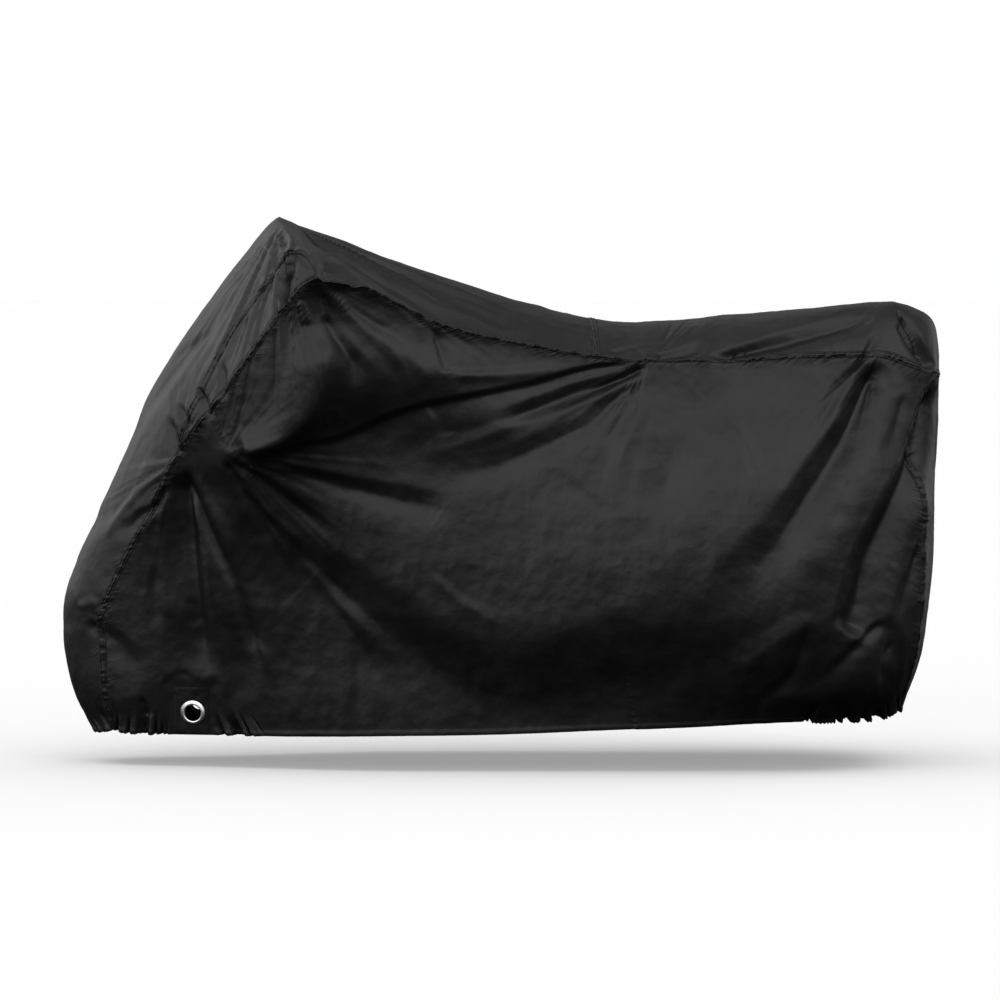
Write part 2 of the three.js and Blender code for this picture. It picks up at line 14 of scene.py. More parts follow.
import bpy
import numpy as np
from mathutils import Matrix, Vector


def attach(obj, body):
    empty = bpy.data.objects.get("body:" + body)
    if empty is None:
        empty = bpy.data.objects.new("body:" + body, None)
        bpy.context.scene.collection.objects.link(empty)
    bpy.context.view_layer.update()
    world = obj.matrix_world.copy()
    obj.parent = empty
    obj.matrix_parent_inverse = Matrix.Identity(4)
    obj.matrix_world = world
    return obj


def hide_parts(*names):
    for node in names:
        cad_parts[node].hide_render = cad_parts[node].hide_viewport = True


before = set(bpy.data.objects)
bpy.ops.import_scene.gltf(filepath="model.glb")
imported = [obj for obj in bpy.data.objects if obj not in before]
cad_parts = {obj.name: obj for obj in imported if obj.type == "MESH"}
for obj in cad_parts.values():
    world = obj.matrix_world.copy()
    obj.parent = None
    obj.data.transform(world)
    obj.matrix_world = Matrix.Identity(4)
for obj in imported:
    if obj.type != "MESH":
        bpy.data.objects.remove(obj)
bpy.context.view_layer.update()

print("solids:", sorted(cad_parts))

# %% [markdown]
# ## Where the camera stands
# The cover is seen square from its side, from far away and from just above its middle, so that a
# strip of the top shows. A camera without perspective could do it, but a long lens keeps the near and
# the far edge almost the same size and still looks as a lens does.

# %% The camera
VIEW = {"distance": 14.0, "elevation": 3.0, "aim": (0.0012, 0.0, 0.550), "seen": 2.38}
SENSOR = 36.0


def add_camera():
    lift = math.radians(VIEW["elevation"])
    back = Vector((0, -math.cos(lift), math.sin(lift)))
    data = bpy.data.cameras.new("camera")
    data.sensor_width = SENSOR
    data.lens = SENSOR * VIEW["distance"] / VIEW["seen"]
    data.clip_end = 200
    camera = bpy.data.objects.new("camera", data)
    camera.location = Vector(VIEW["aim"]) + back * VIEW["distance"]
    camera.rotation_mode = "QUATERNION"
    camera.rotation_quaternion = (-back).to_track_quat("-Z", "Y")
    bpy.context.scene.collection.objects.link(camera)
    bpy.context.scene.camera = camera
    return data.lens


print("lens in mm:", round(add_camera(), 1))

# %% [markdown]
# ## Shader sums
# Materials are clearer as sums than as chains of nodes. This class wraps one socket: adding or
# multiplying it adds the Math node, and `node` makes any other kind of node.


# %% A socket to reckon with
class Wire:
    """One output socket of a node tree."""

    def __init__(self, tree, socket=None):
        self.tree = tree
        self.socket = socket

    def node(self, kind, settings=None, sockets=None, out=0):
        made = self.tree.nodes.new("ShaderNode" + kind)
        for name, value in (settings or {}).items():
            setattr(made, name, value)
        for name, value in (sockets or {}).items():
            if isinstance(value, Wire):
                self.tree.links.new(value.socket, made.inputs[name])
            else:
                made.inputs[name].default_value = value
        return Wire(self.tree, made.outputs[out] if made.outputs else None)

    def sum(self, operation, *values):
        return self.node("Math", {"operation": operation}, dict(enumerate(values)))

    def __add__(self, other):
        return self.sum("ADD", self, other)

    def __sub__(self, other):
        return self.sum("SUBTRACT", self, other)

    def __rsub__(self, other):
        return self.sum("SUBTRACT", other, self)

    def __mul__(self, other):
        return self.sum("MULTIPLY", self, other)

    def __pow__(self, other):
        return self.sum("POWER", self, other)

    __radd__ = __add__
    __rmul__ = __mul__

    def between(self, low, high):
        """0 below low, 1 above high and soft in between."""
        limits = {"From Min": low, "From Max": high}
        return self.node("MapRange", {"interpolation_type": "SMOOTHSTEP"}, {"Value": self, **limits})

    def blended(self, one, other):
        """A colour on the way from one to the other, by this socket."""
        ends = {0: self, 6: (*one, 1), 7: (*other, 1)}
        return self.node("Mix", {"data_type": "RGBA"}, ends, out=2)


def new_material(name):
    material = bpy.data.materials.new(name)
    material.use_nodes = True
    material.node_tree.nodes.clear()
    return material, Wire(material.node_tree)


# %% [markdown]
# ## The studio
# The cover is black on white, so nearly all that is seen is gloss, and what it mirrors draws the
# folds. Area lamps could do it, but each would need its own place and size. Here soft patches of light
# lie on a far sky: strong ones over the viewer's two shoulders, for cloth that leans up, one behind on
# the left, which skims the front and the top, one low behind on the right for the tail, and weak ones
# between them. Below the horizon it is dark. The floor has a lamp of its own, so that it turns white
# round a soft shadow and stays out of the gloss.

# %% Sky and floor
FLOOR_LEVEL = -0.074
SKY_LIGHTS = [
    {"from": (-0.56, -0.68, 0.48), "bright": 1.4, "tight": 14.0, "rises": (-0.12, 0.2)},
    {"from": (-0.86, -0.48, 0.10), "bright": 0.5, "tight": 18.0, "rises": (-0.3, 0.05)},
    {"from": (0.62, -0.52, 0.58), "bright": 1.3, "tight": 18.0, "rises": (-0.1, 0.22)},
    {"from": (0.10, -0.66, 0.74), "bright": 0.4, "tight": 18.0, "rises": (-0.1, 0.22)},
    {"from": (-0.80, 0.50, 0.32), "bright": 1.2, "tight": 9.0, "rises": (-0.12, 0.2)},
    {"from": (0.76, 0.62, 0.15), "bright": 0.95, "tight": 24.0, "rises": (-0.3, 0.1)},
    {"from": (0.20, -0.25, 0.94), "bright": 0.4, "tight": 14.0, "rises": (-0.1, 0.3)},
    {"from": (0.0, 0.6, 0.8), "bright": 0.12, "tight": 8.0, "rises": (-0.1, 0.3)},
]
SKY_REST = {"bright": 0.05, "rises": (-0.8, 0.05)}
FLOOR = {"white": 0.2, "glow": 0.32, "lamp": 13.3, "lamp_wide": 104, "lamp_place": (0.3, 1.7, 5)}
STAGE = {"floor": 60, "wall": 59, "foot": FLOOR_LEVEL - 2, "top": 60}
WHITE = (1, 1, 1, 1)


def add_sky():
    world = bpy.data.worlds.new("studio")
    world.use_nodes = True
    world.node_tree.nodes.clear()
    start = Wire(world.node_tree)
    direction = start.node("TexCoord", out="Generated")
    height = start.node("SeparateXYZ", sockets={0: direction}, out="Z")
    light = height.between(*SKY_REST["rises"]) * SKY_REST["bright"]
    for lobe in SKY_LIGHTS:
        toward = tuple(Vector(lobe["from"]).normalized())
        facing = start.node("VectorMath", {"operation": "DOT_PRODUCT"}, {0: direction, 1: toward}, "Value")
        spot = ((facing + 1) * 0.5) ** lobe["tight"] * lobe["bright"]
        light = light + spot * height.between(*lobe["rises"])
    glow = start.node("Background", sockets={"Color": WHITE, "Strength": light})
    start.node("OutputWorld", sockets={"Surface": glow})
    bpy.context.scene.world = world


def light_only(lamp, receivers):
    """Lets a lamp light the given pieces and nothing else."""
    chosen = bpy.data.collections.new(lamp.name + " lights")
    for piece in receivers:
        chosen.objects.link(piece)
    lamp.light_linking.receiver_collection = chosen


def add_lamp(name, kind, settings, place, aim):
    data = bpy.data.lights.new(name, kind)
    for setting, value in settings.items():
        setattr(data, setting, value)
    lamp = bpy.data.objects.new(name, data)
    lamp.location = place
    lamp.rotation_mode = "QUATERNION"
    lamp.rotation_quaternion = (Vector(aim) - Vector(place)).to_track_quat("-Z", "Y")
    lamp.visible_camera = False
    bpy.context.scene.collection.objects.link(lamp)
    return lamp


def add_stage_piece(name, vertices, faces, shader, sockets):
    mesh = bpy.data.meshes.new(name)
    mesh.from_pydata(vertices, [], faces)
    material, start = new_material(name)
    surface = start.node(shader, sockets=sockets)
    if shader != "Emission":
        glow = start.node("Emission", sockets={"Color": WHITE, "Strength": FLOOR["glow"]})
        surface = start.node("AddShader", sockets={0: surface, 1: glow})
    start.node("OutputMaterial", sockets={"Surface": surface})
    mesh.materials.append(material)
    made = bpy.data.objects.new(name, mesh)
    made.visible_diffuse = False
    made.visible_glossy = False
    made.visible_transmission = False
    bpy.context.scene.collection.objects.link(made)
    return made


def circle(radius, height, count=96):
    turns = [2 * math.pi * k / count for k in range(count)]
    return [(radius * math.cos(t), radius * math.sin(t), height) for t in turns]


def add_stage():
    rim = circle(STAGE["floor"], FLOOR_LEVEL)
    white = {"Color": (*[FLOOR["white"]] * 3, 1), "Roughness": 1.0}
    floor = add_stage_piece("floor", rim, [list(range(len(rim)))], "BsdfDiffuse", white)
    low, high = circle(STAGE["wall"], STAGE["foot"]), circle(STAGE["wall"], STAGE["top"])
    count = len(low)
    wall = [[k, (k + 1) % count, count + (k + 1) % count, count + k] for k in range(count)]
    lid = [list(range(count, 2 * count))]
    glow = {"Color": WHITE, "Strength": 1.0}
    backdrop = add_stage_piece("backdrop", low + high, wall + lid, "Emission", glow)
    backdrop.visible_shadow = False
    sun = {"energy": FLOOR["lamp"], "angle": math.radians(FLOOR["lamp_wide"])}
    light_only(add_lamp("floor lamp", "SUN", sun, FLOOR["lamp_place"], (0, 0, 0)), [floor])


add_sky()
add_stage()
bpy.context.scene.view_settings.view_transform = "Standard"
print("floor level:", FLOOR_LEVEL, "patches of light:", len(SKY_LIGHTS))

# %% [markdown]
# ## Seam lines
# The same tables as in the solids: millimetres, with x along the length, half the distance out from
# the middle plane, and z above the ground. Blender's own curves could be drawn through them, but two
# panels must get the very same points on a shared seam. So a centripetal Catmull-Rom curve goes
# through each table and is cut into equal lengths.

# %% Curves through a few points
HEM_ABOVE_GROUND = 74
MM = 0.001


def table(columns, rows):
    return [dict(zip(columns.split(), row)) for row in rows]


def smooth(t):
    k = np.clip(t, 0, 1)
    return k * k * (3 - 2 * k)


def run_along(points):
    """Length from the first point to each one."""
    return np.concatenate([[0], np.cumsum(np.linalg.norm(np.diff(points, axis=0), axis=1))])


def curve_through(points, shares, steps=40):
    """Places at shares of the length of a soft curve through the points."""
    p = np.asarray(points, float)
    p = np.vstack([2 * p[0] - p[1], p, 2 * p[-1] - p[-2]])
    t = np.linspace(0, 1, steps, endpoint=False)[:, None]
    dense = []
    for a, b, c, d in zip(p, p[1:], p[2:], p[3:]):
        before, here, after = (np.linalg.norm(q - r) ** 0.5 for q, r in ((b, a), (c, b), (d, c)))
        leave = ((b - a) / before - (c - a) / (before + here) + (c - b) / here) * here
        reach = ((c - b) / here - (d - b) / (here + after) + (d - c) / after) * here
        bend = 3 * (c - b) - 2 * leave - reach
        dense.append(b + leave * t + bend * t**2 + (2 * (b - c) + leave + reach) * t**3)
    dense = np.vstack([*dense, p[-2]])
    run = run_along(dense)
    return np.stack([np.interp(np.asarray(shares) * run[-1], run, axis) for axis in dense.T], axis=1)


def seam(rows, shares):
    return curve_through([(x, -half, z) for x, half, z in rows], shares)


def seam_in_parts(parts, shares):
    """A line that is sewn from parts, each with its count of the pattern's cells."""
    ends = np.cumsum([0] + [count for _, count in parts])
    cell = np.asarray(shares) * ends[-1]
    part = np.clip(np.searchsorted(ends, cell, side="right") - 1, 0, len(parts) - 1)
    places = np.zeros((len(cell), 3))
    for n, (rows, count) in enumerate(parts):
        places[part == n] = seam(rows, (cell[part == n] - ends[n]) / count)
    return places


# %% The tables of the seams
FRONT_SEAM_UPPER = [
    (-423, 362, 1156), (-451, 352, 1142), (-496, 338, 1095), (-581, 305, 978), (-671, 268, 856),
    (-764, 230, 728),
]
FRONT_SEAM_LOWER = [
    (-764, 230, 728), (-820, 196, 608), (-881, 160, 496), (-935, 128, 378), (-945, 120, 335),
    (-938, 118, 288), (-936, 116, 217), (-929, 110, 152), (-911, 98, 83),
]
GUSSET_SEAM = [
    (-433, 356, 1186), (-449, 344, 1209), (-483, 318, 1223), (-523, 290, 1181), (-583, 265, 1099),
    (-628, 250, 1030), (-703, 236, 882), (-731, 232, 824), (-756, 227, 738),
]
MIDDLE_SEAM = [
    (-423, 362, 1156), (-393, 350, 1147), (-315, 318, 1137), (-227, 280, 1092), (-116, 246, 1040),
    (20, 225, 1009), (111, 216, 992), (229, 212, 971),
]
TAIL_SEAM = [
    (229, 212, 971), (343, 214, 961), (447, 212, 964), (564, 208, 965), (703, 196, 973),
    (821, 182, 975), (899, 172, 977), (980, 160, 948), (1031, 140, 931),
]
REAR_SEAM = [
    (1031, 140, 931), (1014, 150, 896), (991, 168, 821), (976, 184, 751), (987, 194, 693),
    (1000, 204, 623), (997, 214, 518), (995, 214, 415), (988, 206, 341), (976, 188, 258),
    (956, 164, 190), (937, 140, 136),
]
HEM_FRONT = [(-911, 98, 83), (-872, 118, 77), (-768, 144, 77)]
HEM_PATCH = [(-768, 144, 77), (-684, 160, 77)]
HEM_REAR = [
    (-684, 160, 77), (-633, 176, 78), (-557, 198, 78), (-420, 240, 81), (-232, 280, 85),
    (1, 300, 88), (234, 304, 97), (481, 296, 107), (589, 284, 114), (690, 256, 118),
    (798, 220, 117), (877, 182, 117), (909, 160, 121), (937, 140, 136),
]
NOSE_LINE = [
    (-958, 0, 74), (-979, 0, 102), (-1008, 0, 155), (-1029, 0, 224), (-1041, 0, 314),
    (-1032, 0, 400), (-1001, 0, 491), (-960, 0, 584), (-910, 0, 696),
]
SHIELD_LINE = [
    (-906, 0, 707), (-875, 0, 777), (-837, 0, 870), (-782, 0, 967), (-715, 0, 1063),
    (-608, 0, 1206), (-546, 0, 1284), (-527, 0, 1300),
]
PEAK_LINE = [(-527, 0, 1300), (-494, 0, 1288)]
MIDDLE_LINE = [
    (-475, 0, 1278), (-403, 0, 1253), (-282, 0, 1206), (-144, 0, 1158), (6, 0, 1110),
    (120, 0, 1078), (218, 0, 1055),
]
TAIL_LINE = [
    (218, 0, 1055), (287, 0, 1049), (358, 0, 1049), (477, 0, 1058), (620, 0, 1070),
    (763, 0, 1083), (882, 0, 1094), (937, 0, 1096),
]
TAIL_END_LINE = [(937, 0, 1096), (982, 0, 1082), (1025, 0, 1055), (1039, 0, 1005), (1041, 0, 927)]
BACK_LINE = [
    (1041, 0, 927), (1041, 0, 862), (1039, 0, 777), (1035, 0, 681), (1029, 0, 586),
    (1027, 0, 491), (1017, 0, 386), (1003, 0, 274), (982, 0, 200), (960, 0, 152), (946, 0, 124),
]
for words, rows in (("middle", MIDDLE_SEAM), ("tail", TAIL_SEAM), ("rear", REAR_SEAM)):
    places = seam(rows, np.linspace(0, 1, 100))
    print(words, "seam, length in mm:", round(run_along(places)[-1]))

# %% [markdown]
# ## The panels
# Each panel is a grid whose rows and columns end on its seams. The side panels are Coons patches,
# spanned like a sail between four edges. The front, top and back go from side to side, and one number
# says how full their section is. Rows lie closer together near the hem, where the elastic gathers it.

# %% How fine the grids are
PATTERN = {"gusset": 12, "nose": 16, "middle": 16, "tail": 22}
FINE = {
    "gusset": 88, "nose": 106, "near_hem": 16, "middle": 184, "tail": 256, "across": 88, "strip": 20,
}
NEAR_HEM = 0.915

gusset_shares = np.linspace(0, 1, FINE["gusset"] + 1)
nose_shares = np.concatenate(
    [np.linspace(0, NEAR_HEM, FINE["nose"] + 1), np.linspace(NEAR_HEM, 1, FINE["near_hem"] + 1)[1:]]
)
middle_shares = np.linspace(0, 1, FINE["middle"] + 1)
tail_shares = np.linspace(0, 1, FINE["tail"] + 1)


def chained(first, first_cells, second, second_cells):
    """Shares of a whole edge, from the shares of its two stretches."""
    total = first_cells + second_cells
    return np.concatenate([first * first_cells, first_cells + second[1:] * second_cells]) / total


down_shares = chained(gusset_shares, PATTERN["gusset"], nose_shares, PATTERN["nose"])
along_shares = chained(middle_shares, PATTERN["middle"], tail_shares, PATTERN["tail"])
gusset_row = FINE["gusset"]
near_hem_row = FINE["gusset"] + FINE["nose"]
middle_column = FINE["middle"]
print("rows down and columns along a side:", len(down_shares), len(along_shares))

# %% Side panels
BULGES = table("x z long tall out", [
    (-10, 400, 720, 310, 46), (560, 560, 380, 330, 42), (-330, 610, 330, 260, 34),
    (-612, 756, 150, 190, 34), (-760, 380, 170, 300, 26), (850, 560, 240, 330, 26),
])
FREE = {"top": 0.22, "bottom": 0.3, "front": 0.14, "rear": 0.16}
HEM_PATTERN = [(HEM_FRONT, 3), (HEM_PATCH, 2), (HEM_REAR, 33)]


def side_base():
    top = np.vstack([seam(MIDDLE_SEAM, middle_shares), seam(TAIL_SEAM, tail_shares)[1:]])
    front = np.vstack([seam(FRONT_SEAM_UPPER, gusset_shares), seam(FRONT_SEAM_LOWER, nose_shares)[1:]])
    rear = seam(REAR_SEAM, down_shares)
    bottom = seam_in_parts(HEM_PATTERN, along_shares)
    u, v = along_shares[None, :, None], down_shares[:, None, None]
    base = top[None] * (1 - v) + bottom[None] * v + front[:, None] * (1 - u) + rear[:, None] * u
    base = base - top[0] * (1 - u) * (1 - v) - top[-1] * u * (1 - v)
    base = base - bottom[0] * (1 - u) * v - bottom[-1] * u * v
    ends = smooth(v / FREE["top"]) * smooth((1 - v) / FREE["bottom"])
    free = ends * smooth(u / FREE["front"]) * smooth((1 - u) / FREE["rear"])
    for b in BULGES:
        away = ((base[..., 0] - b["x"]) / b["long"]) ** 2 + ((base[..., 2] - b["z"]) / b["tall"]) ** 2
        base[..., 1] -= free[..., 0] * b["out"] * np.exp(-away)
    return base


# %% Panels that go from side to side, and the gussets
FULLNESS = {"hem": 2.4, "waist": 2, "peak": 1.45, "middle": 2, "tail": 3.2, "end": 2.4}
across_shares = np.linspace(-1, 1, FINE["across"] + 1)


def sections(edges, middles, full_from, full_to):
    """Rows from the left seam over the middle line to the right seam."""
    full = np.linspace(full_from, full_to, len(edges))[:, None]
    fall = np.abs(across_shares)[None] ** full
    x = middles[:, None, 0] * (1 - fall) + edges[:, None, 0] * fall
    z = middles[:, None, 2] * (1 - fall) + edges[:, None, 2] * fall
    return np.stack([x, -across_shares[None] * edges[:, None, 1], z], axis=2)


def link(lower, upper):
    """The rows between two sections, without those two."""
    share = np.linspace(0, 1, FINE["strip"] + 1)[1:-1, None, None]
    return lower[None] * (1 - share) + upper[None] * share


def front_base():
    nose_up = 1 - nose_shares[::-1]
    nose = sections(
        seam(FRONT_SEAM_LOWER, 1 - nose_up), seam(NOSE_LINE, nose_up), FULLNESS["hem"], FULLNESS["waist"]
    )
    shield_line = seam_in_parts([(SHIELD_LINE, 11), (PEAK_LINE, 1)], gusset_shares)
    gusset_line = seam(GUSSET_SEAM, 1 - gusset_shares)
    shield = sections(gusset_line, shield_line, FULLNESS["waist"], FULLNESS["peak"])
    middle_line = seam(MIDDLE_LINE, middle_shares)
    middle = sections(seam(MIDDLE_SEAM, middle_shares), middle_line, FULLNESS["peak"], FULLNESS["middle"])
    parts = [nose, link(nose[-1], shield[0]), shield, link(shield[-1], middle[0]), middle]
    return np.concatenate(parts)


def top_base():
    middle = seam_in_parts([(TAIL_LINE, 17), (TAIL_END_LINE, 5)], tail_shares)
    return sections(seam(TAIL_SEAM, tail_shares), middle, FULLNESS["middle"], FULLNESS["tail"])


def back_base():
    rear = seam(REAR_SEAM, down_shares)
    return sections(rear, seam(BACK_LINE, down_shares), FULLNESS["tail"], FULLNESS["end"])


def gusset_base():
    share = np.linspace(0, 1, FINE["strip"] + 1)[None, :, None]
    front = seam(GUSSET_SEAM, gusset_shares)[:, None]
    rear = seam(FRONT_SEAM_UPPER, gusset_shares)[:, None]
    return front * (1 - share) + rear * share


def mirrored(base):
    return base * np.array([1, -1, 1])


# %% [markdown]
# ## The chart of folds
# Each row is one crease that the cloth shows when seen square from the side: how wide it drops, how
# wide it rises again, how deep it is in millimetres, over which shares of its length it starts and
# dies away, and the points that it runs through. A negative depth is a ridge. A simulation gives
# softer folds in other places. A chart keeps the real ones, and each stays easy to move.

# %% The main folds of a side
FOLD = "name drop rise deep starts ends line"
MAIN_FOLDS = table(FOLD, [
    ("upper tuck", 20, 80, 9, 0.1, 0.08,
     [(327, 963), (202, 947), (76, 912), (-45, 888), (-227, 848), (-367, 787), (-470, 768), (-597, 757)]),
    ("second tuck", 34, 50, 16, 0.08, 0.3, [(344, 958), (276, 928), (176, 901), (76, 865), (-27, 825)]),
    ("third tuck", 46, 70, 9, 0.1, 0.35,
     [(327, 926), (253, 877), (202, 830), (101, 786), (-1, 744), (-101, 725), (-204, 725)]),
    ("belly line", 180, 380, 27, 0.16, 0.3,
     [(-492, 595), (-376, 478), (-262, 398), (-126, 292), (-20, 236), (125, 243), (280, 305), (384, 308),
      (527, 378)]),
    ("wedge under the tip", 46, 80, 12, 0.2, 0.25,
     [(-530, 718), (-443, 704), (-367, 688), (-232, 660), (-127, 637), (-87, 600)]),
    ("first ray", 26, 50, 10, 0.1, 0.4, [(-609, 744), (-570, 709), (-493, 653), (-453, 623), (-353, 546)]),
    ("second ray", 22, 44, 8, 0.1, 0.4, [(-626, 739), (-595, 679), (-570, 644), (-518, 583), (-469, 527)]),
    ("fan", 120, 90, -30, 0.1, 0.3,
     [(-606, 776), (-535, 812), (-484, 880), (-470, 960), (-462, 1060)]),
    ("tuck below the corner", 32, 50, 8, 0.12, 0.4, [(-404, 1077), (-360, 1016), (-269, 914)]),
    ("ridge from the corner", 44, 50, -7, 0.12, 0.1,
     [(-423, 1158), (-360, 1105), (-278, 1035), (-185, 977), (-132, 933)]),
    ("inner ridge", 30, 44, -6, 0.1, 0.4, [(-118, 935), (76, 947), (125, 956), (227, 972)]),
    ("middle hollow", 100, 150, 12, 0.3, 0.3, [(330, 560), (352, 680), (385, 790), (440, 890), (510, 965)]),
    ("first tail fold", 32, 46, 9, 0.1, 0.4,
     [(880, 1038), (862, 993), (831, 947), (789, 907), (756, 860), (719, 804), (698, 769)]),
    ("long tail fold", 84, 130, 36, 0.08, 0.5,
     [(880, 972), (840, 912), (779, 790), (698, 679), (618, 567), (567, 511), (507, 420), (486, 371)]),
    ("rear fold", 56, 80, 30, 0.1, 0.06,
     [(1017, 916), (991, 846), (942, 709), (875, 578), (840, 513), (819, 446), (800, 380), (779, 341)]),
    ("low rear fold", 28, 50, 8, 0.1, 0.4, [(896, 362), (831, 306), (758, 241), (719, 201)]),
    ("low ridge", 70, 130, -10, 0.3, 0.5, [(740, 405), (640, 338), (530, 272), (420, 200)]),
    ("low tuck", 30, 50, 7, 0.2, 0.3, [(709, 362), (688, 282), (663, 231), (607, 185), (577, 136)]),
    ("front trough", 110, 44, 24, 0.1, 0.3,
     [(-759, 705), (-762, 592), (-762, 453), (-756, 290), (-748, 180)]),
    ("slanted trough", 28, 62, 18, 0.12, 0.2,
     [(-749, 709), (-721, 648), (-684, 550), (-635, 446), (-600, 324), (-570, 231)]),
    ("nose tuck", 24, 36, 9, 0.12, 0.3, [(-783, 676), (-807, 632), (-859, 597), (-912, 546)]),
    ("nose crease", 44, 70, 6, 0.1, 0.4,
     [(-980, 345), (-935, 334), (-903, 317), (-873, 289), (-847, 262), (-831, 224), (-821, 173)]),
    ("slanted ridge", 46, 64, -8, 0.1, 0.2,
     [(-738, 700), (-692, 600), (-645, 480), (-604, 370), (-560, 215)]),
    ("streak", 36, 60, -6, 0.15, 0.4, [(-465, 511), (-393, 429), (-274, 315), (-181, 224)]),
])

